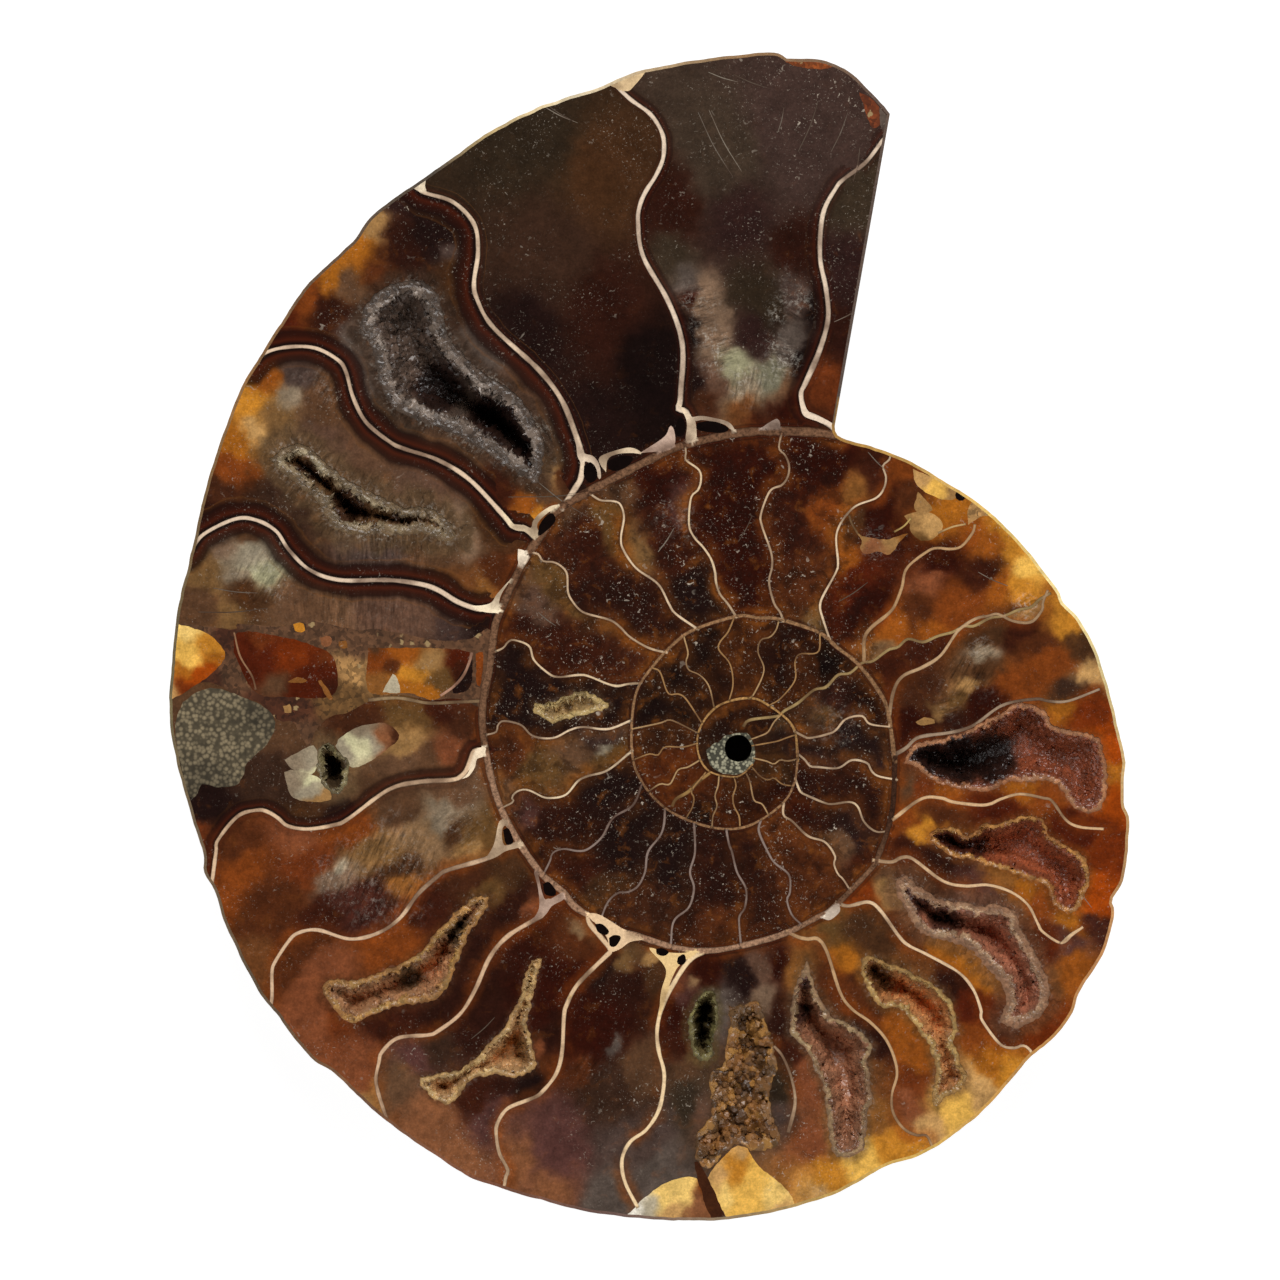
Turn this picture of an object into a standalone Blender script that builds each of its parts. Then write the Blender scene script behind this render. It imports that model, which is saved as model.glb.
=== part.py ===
# Half of an ammonite fossil, sawn through the coil and polished.
# It lies on its natural back with the polished face up, at Z = HALF_THICKNESS.
# Shapes are drawn in millimetres from the coil's axis, with +X and +Y in the polished face.
# The finished part has its origin under the middle of its outline.
import math
import random

import bmesh
import bpy
from mathutils import Vector
from mathutils.geometry import delaunay_2d_cdt

MM = 0.001

# Driving dimensions of the half shell, in millimetres
HALF_THICKNESS = 15.0
RIM_SPACING = 2.25
UMBILICUS_RADIUS = 5.5
UMBILICUS_DEPTH = 10.6
RIB_COUNT = 30
RIB_HEIGHT = 0.45
RIB_SWEEP = 9.0

# Driving dimensions of the open chambers, in millimetres
GAP = 0.3
CUTTER_RISE = 1.0
FLOOR_THICKNESS = 0.9
LIP_DROP = 0.3
LIP_WAVE = 0.14
CRYSTAL_RISE = 0.5
CRYSTAL_PITCH = 1.05
CENTRE_HOLE = {"centre": (0.0, 0.35), "radius": 1.35, "depth": 3.0, "sides": 14}

# The rim of the polished face, from the sawn mouth round the coil to the whorl below it
RIM = (
    (15.3, 63.8), (14.3, 65.0), (13.0, 66.3), (11.0, 68.2), (8.0, 69.3), (5.0, 69.4), (3.5, 70.0),
    (-3.0, 69.4), (-10.0, 68.1), (-14.0, 66.5), (-20.0, 64.5), (-25.0, 62.0), (-28.5, 59.5),
    (-36.0, 54.2), (-38.5, 51.1), (-41.0, 48.8), (-43.3, 46.5), (-46.6, 41.6), (-48.0, 39.3),
    (-49.8, 36.2), (-52.8, 28.0), (-54.7, 20.0), (-56.1, 14.0), (-56.8, 7.0), (-56.9, 4.0),
    (-56.6, 1.0), (-55.4, -4.0), (-53.6, -10.0), (-53.45, -12.0), (-52.3, -14.0), (-51.4, -17.0),
    (-48.5, -23.0), (-46.4, -26.0), (-42.7, -30.6), (-40.4, -32.2), (-35.6, -36.6), (-28.3, -41.7),
    (-25.1, -43.2), (-16.0, -45.8), (-8.0, -46.8), (-1.3, -46.8), (5.0, -45.7), (10.2, -44.0),
    (15.0, -41.4), (18.0, -40.5), (22.0, -38.0), (25.5, -34.9), (29.1, -30.7), (31.3, -28.9),
    (33.4, -26.3), (34.2, -24.0), (36.7, -19.9), (37.7, -16.0), (37.5, -14.8), (38.6, -12.7),
    (39.2, -7.2), (38.6, -5.0), (38.7, -2.0), (38.6, 0.0), (36.6, 8.0), (34.4, 13.0), (32.5, 15.0),
    (31.9, 16.4), (27.8, 21.5), (24.2, 24.8), (18.0, 28.7), (14.0, 30.4), (10.2, 31.5), (9.7, 32.6),
)

# Widest half thickness of the whorl, by the angle that the coil has turned
WHORL_THICKNESS = ((76, 15.15), (180, 15.15), (280, 15.1), (320, 14.4), (360, 13.4), (400, 12.3), (434, 11.4))

# The flank's fall from the polished face, as a share of the whorl's thickness,
# by the way from the umbilicus to the rim. The two full shares are the worn flat that it rests on.
FLANK = (
    (0.0, 0.70), (0.05, 0.80), (0.12, 0.92), (0.22, 0.98), (0.335, 1.0), (0.41, 1.0), (0.53, 0.975),
    (0.65, 0.925), (0.76, 0.84), (0.85, 0.72), (0.92, 0.575), (0.965, 0.41), (0.99, 0.22), (1.0, 0.0),
)

# Chambers that were never filled: the rim of each opening in the face, its depth at the side
# towards the coil's axis and at the side away from it, and how far in the crystals fall to the floor
HOLLOWS = {
    "druse_upper_left": {
        "rim": (
            (-37.8, 42.0), (-36.7, 40.6), (-36.2, 38.8), (-35.8, 36.6), (-34.9, 34.9), (-33.2, 33.6),
            (-31.3, 32.7), (-28.8, 31.9), (-26.7, 30.9), (-24.3, 29.4), (-22.4, 28.1), (-20.8, 27.2),
            (-19.8, 27.7), (-19.4, 29.2), (-19.4, 31.0), (-20.2, 32.6), (-21.2, 34.6), (-22.4, 36.0),
            (-24.2, 37.2), (-26.0, 38.4), (-27.6, 39.8), (-28.9, 41.4), (-29.5, 43.4), (-30.1, 45.6),
            (-31.3, 47.0), (-33.0, 47.1), (-35.0, 46.5), (-36.7, 45.2), (-37.6, 43.6),
        ),
        "depth": (9.5, 4.5), "slope": 2.0,
    },
    "druse_left": {
        "rim": (
            (-46.8, 29.4), (-46.0, 28.3), (-44.6, 27.2), (-43.2, 26.2), (-42.1, 25.2), (-41.6, 24.0),
            (-40.8, 22.8), (-39.6, 22.1), (-37.8, 21.8), (-35.8, 21.9), (-33.8, 21.6), (-31.6, 21.9),
            (-29.6, 21.2), (-28.3, 21.4), (-28.6, 22.6), (-29.8, 23.8), (-31.6, 24.5), (-33.6, 24.6),
            (-35.2, 25.2), (-37.0, 26.1), (-38.8, 27.3), (-40.4, 28.1), (-41.8, 29.3), (-43.2, 30.6),
            (-45.2, 30.4),
        ),
        "depth": (8.0, 5.0), "slope": 1.3,
    },
    "druse_calcite_pocket": {
        "rim": (
            (-41.9, 0.2), (-42.1, -1.4), (-41.7, -2.8), (-40.9, -3.9), (-40.1, -4.2), (-39.4, -3.4),
            (-38.9, -2.1), (-38.9, -1.1), (-39.5, -0.3), (-40.2, 0.5), (-41.1, 0.9),
        ),
        "depth": (6.5, 6.5), "slope": 1.0,
    },
    "druse_lower_left": {
        "rim": (
            (-24.8, -14.5), (-25.3, -15.9), (-26.2, -17.2), (-27.1, -18.5), (-27.6, -20.0), (-28.2, -21.3),
            (-28.7, -22.8), (-29.6, -24.2), (-31.0, -25.0), (-33.0, -25.4), (-35.0, -25.7), (-36.6, -26.3),
            (-38.2, -27.0), (-39.6, -26.5), (-40.6, -25.4), (-41.3, -24.2), (-41.2, -23.0), (-39.8, -22.6),
            (-38.0, -22.8), (-36.4, -22.2), (-34.6, -21.4), (-32.8, -20.6), (-31.2, -19.5), (-30.2, -18.0),
            (-28.9, -16.6), (-27.6, -15.4), (-26.1, -14.5),
        ),
        "depth": (7.5, 4.6), "slope": 1.4,
    },
    "druse_lower_fork": {
        "rim": (
            (-19.5, -20.6), (-19.9, -22.0), (-20.4, -23.6), (-20.8, -25.2), (-21.0, -26.6), (-20.8, -28.0),
            (-20.5, -29.6), (-20.2, -31.2), (-21.0, -32.1), (-22.6, -32.5), (-24.4, -32.2), (-26.0, -32.5),
            (-27.1, -33.3), (-27.8, -34.4), (-28.6, -35.3), (-30.0, -35.0), (-31.2, -33.9), (-32.0, -32.9),
            (-30.6, -32.2), (-28.8, -32.0), (-27.2, -31.3), (-26.0, -30.3), (-25.0, -29.2), (-23.9, -28.0),
            (-22.9, -26.6), (-22.2, -25.2), (-21.7, -23.4), (-21.1, -21.8), (-20.5, -20.7),
        ),
        "depth": (7.0, 4.2), "slope": 1.3,
    },
    "druse_slot": {
        "rim": (
            (-3.9, -24.6), (-3.1, -24.0), (-2.3, -24.4), (-2.2, -25.6), (-1.9, -26.8), (-2.2, -28.0),
            (-2.6, -29.2), (-2.4, -30.4), (-3.4, -30.9), (-4.4, -30.2), (-4.9, -28.8), (-5.0, -27.4),
            (-4.7, -26.0), (-4.3, -25.2),
        ),
        "depth": (7.5, 7.5), "slope": 0.9,
    },
    "crumbly_fill": {
        "rim": (
            (-0.9, -25.4), (0.6, -25.2), (2.2, -25.4), (2.8, -27.0), (3.4, -29.0), (3.8, -31.0), (3.4, -33.0),
            (3.2, -35.0), (3.8, -37.0), (4.2, -38.6), (3.2, -39.7), (1.4, -40.0), (0.2, -39.2), (-0.9, -39.8),
            (-1.9, -40.8), (-3.0, -41.6), (-4.0, -40.8), (-4.2, -39.0), (-3.6, -37.4), (-2.6, -36.0),
            (-2.7, -34.0), (-2.9, -32.4), (-1.5, -31.0), (-1.2, -29.0), (-0.9, -27.2),
        ),
        "depth": (4.2, 3.6), "slope": 1.6,
    },
    "druse_bottom": {
        "rim": (
            (6.9, -20.8), (6.2, -22.2), (5.6, -23.8), (5.3, -25.6), (5.2, -27.4), (5.9, -28.7), (6.9, -29.8),
            (7.6, -31.2), (8.0, -32.8), (8.6, -34.4), (8.8, -36.2), (9.2, -38.2), (9.8, -40.2), (11.2, -40.4),
            (12.6, -39.6), (12.7, -37.8), (12.9, -36.2), (13.4, -34.6), (13.1, -32.8), (13.0, -31.0),
            (13.3, -29.4), (12.2, -28.0), (10.8, -27.0), (9.2, -26.3), (8.4, -25.0), (7.7, -23.6),
            (7.4, -22.0),
        ),
        "depth": (8.0, 4.0), "slope": 1.7,
    },
    "druse_bottom_right": {
        "rim": (
            (12.3, -20.9), (13.5, -20.5), (15.0, -21.1), (16.6, -21.8), (18.2, -22.5), (19.6, -23.3),
            (20.9, -24.3), (21.4, -25.8), (22.0, -27.4), (21.6, -29.2), (22.2, -30.9), (22.8, -32.4),
            (22.3, -33.9), (21.0, -34.4), (19.9, -35.3), (19.3, -34.2), (19.6, -32.6), (19.6, -30.8),
            (18.6, -29.3), (17.6, -27.8), (16.8, -26.2), (15.4, -25.8), (14.0, -25.3), (13.4, -23.8),
            (12.5, -22.4),
        ),
        "depth": (7.0, 4.2), "slope": 1.5,
    },
    "druse_right_lower": {
        "rim": (
            (15.8, -12.5), (16.9, -12.3), (18.0, -13.3), (19.2, -13.9), (20.4, -14.7), (22.0, -15.0),
            (24.0, -15.2), (26.0, -15.2), (27.8, -15.9), (28.3, -17.6), (29.1, -19.2), (30.1, -20.8),
            (30.9, -22.4), (31.2, -24.2), (30.6, -25.9), (29.3, -27.0), (27.6, -27.5), (26.2, -26.8),
            (26.9, -25.2), (26.5, -23.6), (25.4, -22.2), (24.2, -20.8), (22.8, -19.6), (21.0, -19.1),
            (19.2, -18.5), (17.8, -17.5), (16.8, -16.0), (16.0, -14.4),
        ),
        "depth": (8.0, 4.2), "slope": 1.7,
    },
    "druse_right_middle": {
        "rim": (
            (19.3, -8.2), (20.2, -7.6), (21.6, -7.5), (22.8, -8.3), (23.8, -8.0), (24.6, -7.1), (26.0, -7.1),
            (27.4, -6.6), (29.0, -6.4), (30.6, -7.0), (31.3, -8.4), (32.8, -9.2), (34.3, -10.2), (35.1, -12.0),
            (34.9, -13.8), (34.2, -15.4), (33.0, -16.0), (31.8, -15.4), (31.0, -13.8), (29.8, -13.0),
            (28.2, -12.3), (26.4, -11.7), (24.6, -11.4), (23.2, -10.6), (21.6, -10.6), (20.6, -9.9),
            (19.6, -9.2),
        ),
        "depth": (7.0, 4.2), "slope": 1.6,
    },
    "druse_right_upper": {
        "rim": (
            (16.6, -1.1), (18.0, -1.6), (19.4, -2.7), (21.0, -3.4), (22.8, -3.8), (24.6, -3.9), (26.0, -3.3),
            (27.4, -2.9), (29.4, -3.1), (31.4, -3.1), (32.6, -4.0), (33.4, -5.5), (34.8, -6.0), (36.2, -5.7),
            (36.9, -4.3), (36.9, -2.0), (36.5, 0.2), (35.6, 1.7), (33.8, 2.1), (32.0, 2.6), (30.9, 3.8),
            (29.4, 4.8), (27.6, 4.7), (26.0, 4.0), (24.4, 2.9), (22.6, 2.0), (20.4, 1.5), (18.4, 1.1),
            (17.2, 0.3),
        ),
        "depth": (8.5, 3.4), "slope": 2.2,
    },
    "druse_inner_whorl": {
        "rim": (
            (-20.3, 4.8), (-19.0, 4.9), (-17.6, 5.3), (-16.4, 5.9), (-15.4, 6.1), (-14.4, 5.5), (-13.0, 4.8),
            (-13.6, 4.2), (-15.0, 3.8), (-16.2, 3.4), (-17.4, 3.4), (-18.6, 2.9), (-19.7, 3.4), (-20.4, 4.1),
        ),
        "depth": (3.0, 3.0), "slope": 0.8,
    },
}

# Colours are linear RGB
FINISHES = {
    "ammonite": {"color": (0.060, 0.017, 0.006), "roughness": 0.22},
    "grey_druse": {"color": (0.160, 0.125, 0.090), "roughness": 0.45},
    "tan_druse": {"color": (0.170, 0.105, 0.050), "roughness": 0.50},
    "brown_druse": {"color": (0.120, 0.055, 0.032), "roughness": 0.50},
    "ochre_fill": {"color": (0.260, 0.120, 0.030), "roughness": 0.70},
}
CRUST_FINISH = {
    "druse_upper_left": "grey_druse", "druse_left": "grey_druse", "druse_calcite_pocket": "grey_druse",
    "druse_lower_left": "tan_druse", "druse_lower_fork": "tan_druse", "druse_slot": "tan_druse",
    "crumbly_fill": "ochre_fill", "druse_bottom": "brown_druse", "druse_bottom_right": "brown_druse",
    "druse_right_lower": "brown_druse", "druse_right_middle": "brown_druse",
    "druse_right_upper": "brown_druse", "druse_inner_whorl": "tan_druse",
}


def clear_scene():
    for obj in list(bpy.data.objects):
        bpy.data.objects.remove(obj, do_unlink=True)


def principled(name, color, roughness):
    material = bpy.data.materials.new(name)
    material.use_nodes = True
    shader = material.node_tree.nodes["Principled BSDF"]
    shader.inputs["Base Color"].default_value = (*color, 1.0)
    shader.inputs["Roughness"].default_value = roughness
    shader.inputs["Metallic"].default_value = 0.0
    return material


def interpolate(table, x):
    if x <= table[0][0]:
        return table[0][1]
    for (x0, y0), (x1, y1) in zip(table, table[1:]):
        if x <= x1:
            return y0 + (y1 - y0) * (x - x0) / (x1 - x0)
    return table[-1][1]


def smooth_step(low, high, x):
    t = min(max((x - low) / (high - low), 0.0), 1.0)
    return t * t * (3.0 - 2.0 * t)


def resample(points, spacing):
    """Points at equal steps along an open polyline, with both ends kept."""
    points = [Vector(p) for p in points]
    lengths = [0.0]
    for a, b in zip(points, points[1:]):
        lengths.append(lengths[-1] + (b - a).length)
    count = round(lengths[-1] / spacing)
    result = []
    segment = 0
    for i in range(count + 1):
        target = lengths[-1] * i / count
        while segment < len(points) - 2 and lengths[segment + 1] < target:
            segment += 1
        span = lengths[segment + 1] - lengths[segment]
        result.append(points[segment].lerp(points[segment + 1], (target - lengths[segment]) / span))
    return result


def outline_middle(rim):
    xs = [p.x for p in rim]
    ys = [p.y for p in rim]
    return Vector(((min(xs) + max(xs)) / 2.0, (min(ys) + max(ys)) / 2.0))


def rib_relief(angle, way):
    """Low ribs that sweep forwards towards the rim and fade out on the worn flat and at the rim."""
    phase = math.radians(RIB_COUNT * (angle + RIB_SWEEP * math.sin(math.pi * way)))
    fade = smooth_step(0.45, 0.7, way) * (1.0 - smooth_step(0.93, 1.0, way))
    return RIB_HEIGHT * fade * math.cos(phase)


def flank_depth(angle, way):
    """How far the shell's back lies under the polished face."""
    thickness = interpolate(WHORL_THICKNESS, angle)
    depth = thickness * interpolate(FLANK, way) + rib_relief(angle, way)
    floor = UMBILICUS_DEPTH + (depth - UMBILICUS_DEPTH) * smooth_step(0.0, 0.12, way)
    return min(floor, HALF_THICKNESS)


def new_object(name, bm, material, middle):
    bmesh.ops.recalc_face_normals(bm, faces=bm.faces)
    for vert in bm.verts:
        vert.co = Vector(((vert.co.x - middle.x) * MM, (vert.co.y - middle.y) * MM, vert.co.z * MM))
    mesh = bpy.data.meshes.new(name)
    bm.to_mesh(mesh)
    bm.free()
    obj = bpy.data.objects.new(name, mesh)
    bpy.context.scene.collection.objects.link(obj)
    if material:
        mesh.materials.append(material)
    return obj


def floor_level(hollow, x, y):
    """Depth of a hollow's floor: one flat that rises away from the coil's axis."""
    inward, outward = hollow["depth"]
    middle = sum((Vector(p) for p in hollow["rim"]), Vector((0.0, 0.0))) / len(hollow["rim"])
    direction = middle.normalized()
    along = [Vector(p).dot(direction) for p in hollow["rim"]]
    share = (Vector((x, y)).dot(direction) - min(along)) / (max(along) - min(along))
    return inward + (outward - inward) * share


def signed_area(points):
    pairs = zip(points, points[1:] + points[:1])
    return sum(a.x * b.y - a.y * b.x for a, b in pairs) / 2.0


def inset(points, distance):
    """Move a closed outline inwards by one distance, along the bisector of each corner."""
    points = [Vector(p) for p in points]
    if signed_area(points) < 0.0:
        points.reverse()
    moved = []
    for i, point in enumerate(points):
        before = (point - points[i - 1]).normalized()
        after = (points[(i + 1) % len(points)] - point).normalized()
        normal = Vector((-before.y - after.y, before.x + after.x)).normalized()
        reach = distance / max(normal.dot(Vector((-before.y, before.x))), 0.6)
        moved.append(point + normal * reach)
    return moved


def distance_to_outline(point, outline):
    nearest = math.inf
    for a, b in zip(outline, outline[1:] + outline[:1]):
        side = b - a
        t = min(max((point - a).dot(side) / side.length_squared, 0.0), 1.0)
        nearest = min(nearest, (a + side * t - point).length)
    return nearest


def is_inside(point, outline):
    inside = False
    for a, b in zip(outline, outline[1:] + outline[:1]):
        if (a.y > point.y) != (b.y > point.y):
            if point.x < a.x + (point.y - a.y) * (b.x - a.x) / (b.y - a.y):
                inside = not inside
    return inside


def prism_cutter(name, outline, top, floor_of, middle):
    """A guide solid that cuts one hollow out of the polished face."""
    bm = bmesh.new()
    uppers = [bm.verts.new((p.x, p.y, top)) for p in outline]
    lowers = [bm.verts.new((p.x, p.y, floor_of(p.x, p.y))) for p in outline]
    bm.faces.new(uppers)
    bm.faces.new(lowers)
    for i in range(len(outline)):
        j = (i + 1) % len(outline)
        bm.faces.new((lowers[i], lowers[j], uppers[j], uppers[i]))
    cutter = new_object(name, bm, None, middle)
    cutter.hide_render = True
    cutter.display_type = "WIRE"
    return cutter


def make_half_shell(rim, middle, material):
    """The sawn half: rings of points from the umbilicus to the rim, closed by the polished face."""
    bm = bmesh.new()
    angles = []
    for point in rim:
        angle = math.degrees(math.atan2(point.y, point.x))
        while angles and angle < angles[-1] - 180.0:
            angle += 360.0
        angles.append(angle)
    rings = []
    for way, _share in FLANK:
        ring = []
        for point, angle in zip(rim, angles):
            radius = UMBILICUS_RADIUS + (point.length - UMBILICUS_RADIUS) * way
            spot = point.normalized() * radius
            depth = 0.0 if way == 1.0 else flank_depth(angle, way)
            ring.append(bm.verts.new((spot.x, spot.y, HALF_THICKNESS - depth)))
        rings.append(ring)
    for inner, outer in zip(rings, rings[1:]):
        for i in range(len(rim)):
            j = (i + 1) % len(rim)
            bm.faces.new((inner[i], inner[j], outer[j], outer[i]))
    bm.faces.new(rings[0])
    bm.faces.new(rings[-1])
    shell = new_object("ammonite_half", bm, material, middle)

    for name, hollow in HOLLOWS.items():
        outline = [Vector(p) for p in hollow["rim"]]
        cutter = prism_cutter(
            "cutter_" + name, outline, HALF_THICKNESS + CUTTER_RISE,
            lambda x, y, h=hollow: HALF_THICKNESS - floor_level(h, x, y), middle)
        cut_with(shell, cutter)
    cx, cy = CENTRE_HOLE["centre"]
    circle = []
    for i in range(CENTRE_HOLE["sides"]):
        turn = 2.0 * math.pi * i / CENTRE_HOLE["sides"]
        circle.append(Vector((cx, cy)) + CENTRE_HOLE["radius"] * Vector((math.cos(turn), math.sin(turn))))
    hole_floor = HALF_THICKNESS - CENTRE_HOLE["depth"]
    cutter = prism_cutter("cutter_centre", circle, HALF_THICKNESS + CUTTER_RISE, lambda x, y: hole_floor, middle)
    cut_with(shell, cutter)
    return shell


def cut_with(body, cutter):
    modifier = body.modifiers.new(cutter.name, "BOOLEAN")
    modifier.operation = "DIFFERENCE"
    modifier.solver = "EXACT"
    modifier.object = cutter


def crystal_points(outline, rng):
    """A jittered honeycomb of points inside an outline, for the tips and valleys of the crystals."""
    xs = [p.x for p in outline]
    ys = [p.y for p in outline]
    points = []
    row = 0
    y = min(ys)
    while y < max(ys):
        x = min(xs) + (0.5 * CRYSTAL_PITCH if row % 2 else 0.0)
        while x < max(xs):
            jitter = Vector((rng.uniform(-0.25, 0.25), rng.uniform(-0.25, 0.25))) * CRYSTAL_PITCH
            spot = Vector((x, y)) + jitter
            if is_inside(spot, outline) and distance_to_outline(spot, outline) > 0.4 * CRYSTAL_PITCH:
                points.append(spot)
            x += CRYSTAL_PITCH
        y += CRYSTAL_PITCH * math.sqrt(0.75)
        row += 1
    return points


def make_crust(name, hollow, middle, material, seed):
    """The crystals that line one hollow, as one closed crust that stands clear of its walls."""
    rng = random.Random(seed)
    outline = inset(hollow["rim"], GAP)
    inner = crystal_points(outline, rng)
    count = len(outline)
    spots, _edges, triangles, _a, _b, _c = delaunay_2d_cdt(outline + inner, [], [list(range(count))], 1, 1e-5)

    bm = bmesh.new()
    top = []
    for i, spot in enumerate(spots):
        depth = floor_level(hollow, spot.x, spot.y) - FLOOR_THICKNESS - GAP
        fall = 0.0
        if i < count:
            rise = LIP_WAVE * (-1) ** i
        else:
            fall = smooth_step(0.0, hollow["slope"], distance_to_outline(spot, outline))
            rise = rng.uniform(-CRYSTAL_RISE, CRYSTAL_RISE) * min(1.0, depth / 3.0)
        level = HALF_THICKNESS - LIP_DROP - (depth - LIP_DROP - CRYSTAL_RISE) * fall + rise
        top.append(bm.verts.new((spot.x, spot.y, min(level, HALF_THICKNESS - 0.1))))
    for triangle in triangles:
        bm.faces.new([top[i] for i in triangle])
    base = []
    for spot in spots[:count]:
        level = HALF_THICKNESS - floor_level(hollow, spot.x, spot.y) + GAP
        base.append(bm.verts.new((spot.x, spot.y, level)))
    for i in range(count):
        j = (i + 1) % count
        bm.faces.new((base[i], base[j], top[j], top[i]))
    bm.faces.new(base)
    return new_object(name, bm, material, middle)


def main():
    clear_scene()
    materials = {name: principled(name, f["color"], f["roughness"]) for name, f in FINISHES.items()}
    rim = resample(RIM, RIM_SPACING)
    middle = outline_middle(rim)
    shell = make_half_shell(rim, middle, materials["ammonite"])
    shell.data.shade_smooth()
    shell.data.set_sharp_from_angle(angle=math.radians(35.0))
    for seed, (name, hollow) in enumerate(HOLLOWS.items(), start=1):
        make_crust(name, hollow, middle, materials[CRUST_FINISH[name]], seed)


main()
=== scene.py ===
# Looks of half an ammonite fossil, sawn through the coil and polished.
# It lies on its natural back, with the polished face up. Plans are in millimetres from the coil's axis.
import math
import bmesh
import bpy
import numpy as np
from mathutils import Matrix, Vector
from mathutils.geometry import delaunay_2d_cdt
from mathutils.kdtree import KDTree


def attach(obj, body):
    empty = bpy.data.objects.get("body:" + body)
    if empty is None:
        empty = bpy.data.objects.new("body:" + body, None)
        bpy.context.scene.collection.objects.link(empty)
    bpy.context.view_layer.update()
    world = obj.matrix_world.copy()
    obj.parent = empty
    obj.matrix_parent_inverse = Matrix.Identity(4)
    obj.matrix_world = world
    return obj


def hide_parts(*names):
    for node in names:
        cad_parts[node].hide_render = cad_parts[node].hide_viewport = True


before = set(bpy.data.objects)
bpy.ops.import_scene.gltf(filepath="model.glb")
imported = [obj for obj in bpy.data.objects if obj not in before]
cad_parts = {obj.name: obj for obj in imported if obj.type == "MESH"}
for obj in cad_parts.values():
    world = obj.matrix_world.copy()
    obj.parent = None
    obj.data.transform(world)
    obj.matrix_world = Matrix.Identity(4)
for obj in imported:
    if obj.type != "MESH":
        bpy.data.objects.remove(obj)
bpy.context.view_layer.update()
mm = 0.001
stone = {"axisAt": (8.8635, -11.518), "faceHeight": 15.0, "meshStep": 0.38, "lipWidth": 0.3,
         "clearOfWall": 0.15, "thinnest": 0.35}


# Small helpers for colours, noise and plans
def hexTone(text):
    return np.array([int(text[i:i + 2], 16) / 255 for i in (0, 2, 4)])


def linearColour(text):
    return [p / 12.92 if p <= 0.04045 else ((p + 0.055) / 1.055) ** 2.4 for p in hexTone(text).tolist()]


def pairs(*flat):
    return np.array(flat, float).reshape(-1, 2)


def smoothStep(low, high, x):
    t = np.clip((x - low) / (high - low), 0.0, 1.0)
    return t * t * (3.0 - 2.0 * t)


def latticeNoise(x, y, seed):
    ix, iy = np.floor(x).astype(np.int64), np.floor(y).astype(np.int64)
    fx, fy = x - ix, y - iy
    fx, fy = fx * fx * (3 - 2 * fx), fy * fy * (3 - 2 * fy)

    def corner(a, b):
        # A hash: its large factors only scatter the bits
        h = (a * 374761393 + b * 668265263 + seed * 974634777) & 0x7fffffff
        h = ((h ^ (h >> 13)) * 1274126177) & 0x7fffffff
        h = (h ^ (h >> 16)) & 0xffff
        return h / 32767.5 - 1.0

    low = corner(ix, iy) * (1 - fx) + corner(ix + 1, iy) * fx
    high = corner(ix, iy + 1) * (1 - fx) + corner(ix + 1, iy + 1) * fx
    return low * (1 - fy) + high * fy


def cloud(points, size, seed, octaves=3):
    # Each octave is half as large as the one before, weaker, and moved so that they don't line up
    total, weight, falloff = 0.0, 0.0, 1.8
    for k in range(octaves):
        s = 2.0 ** k / size
        noise = latticeNoise(points[:, 0] * s + 7.3 * k, points[:, 1] * s - 3.1 * k, seed + k)
        total = total + noise / falloff ** k
        weight += 1 / falloff ** k
    return total / weight


# Plans read from the polished face
rimPlan = pairs(15.3, 63.8, 14.3, 65, 13, 66.3, 11, 68.2, 8, 69.3, 5, 69.4, 3.5, 70, -3, 69.4, -10, 68.1,
    -14, 66.5, -20, 64.5, -25, 62, -28.5, 59.5, -36, 54.2, -38.5, 51.1, -41, 48.8, -43.3, 46.5, -46.6, 41.6,
    -48, 39.3, -49.8, 36.2, -52.8, 28, -54.7, 20, -56.1, 14, -56.8, 7, -56.9, 4, -56.6, 1, -55.4, -4,
    -53.6, -10, -53.4, -12, -52.3, -14, -51.4, -17, -48.5, -23, -46.4, -26, -42.7, -30.6, -40.4, -32.2,
    -35.6, -36.6, -28.3, -41.7, -25.1, -43.2, -16, -45.8, -8, -46.8, -1.3, -46.8, 5, -45.7, 10.2, -44,
    15, -41.4, 18, -40.5, 22, -38, 25.5, -34.9, 29.1, -30.7, 31.3, -28.9, 33.4, -26.3, 34.2, -24,
    36.7, -19.9, 37.7, -16, 37.5, -14.8, 38.6, -12.7, 39.2, -7.2, 38.6, -5, 38.7, -2, 38.6, 0, 36.6, 8,
    34.4, 13, 32.5, 15, 31.9, 16.4, 27.8, 21.5, 24.2, 24.8, 18, 28.7, 14, 30.4, 10.2, 31.5, 9.7, 32.6)

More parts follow.
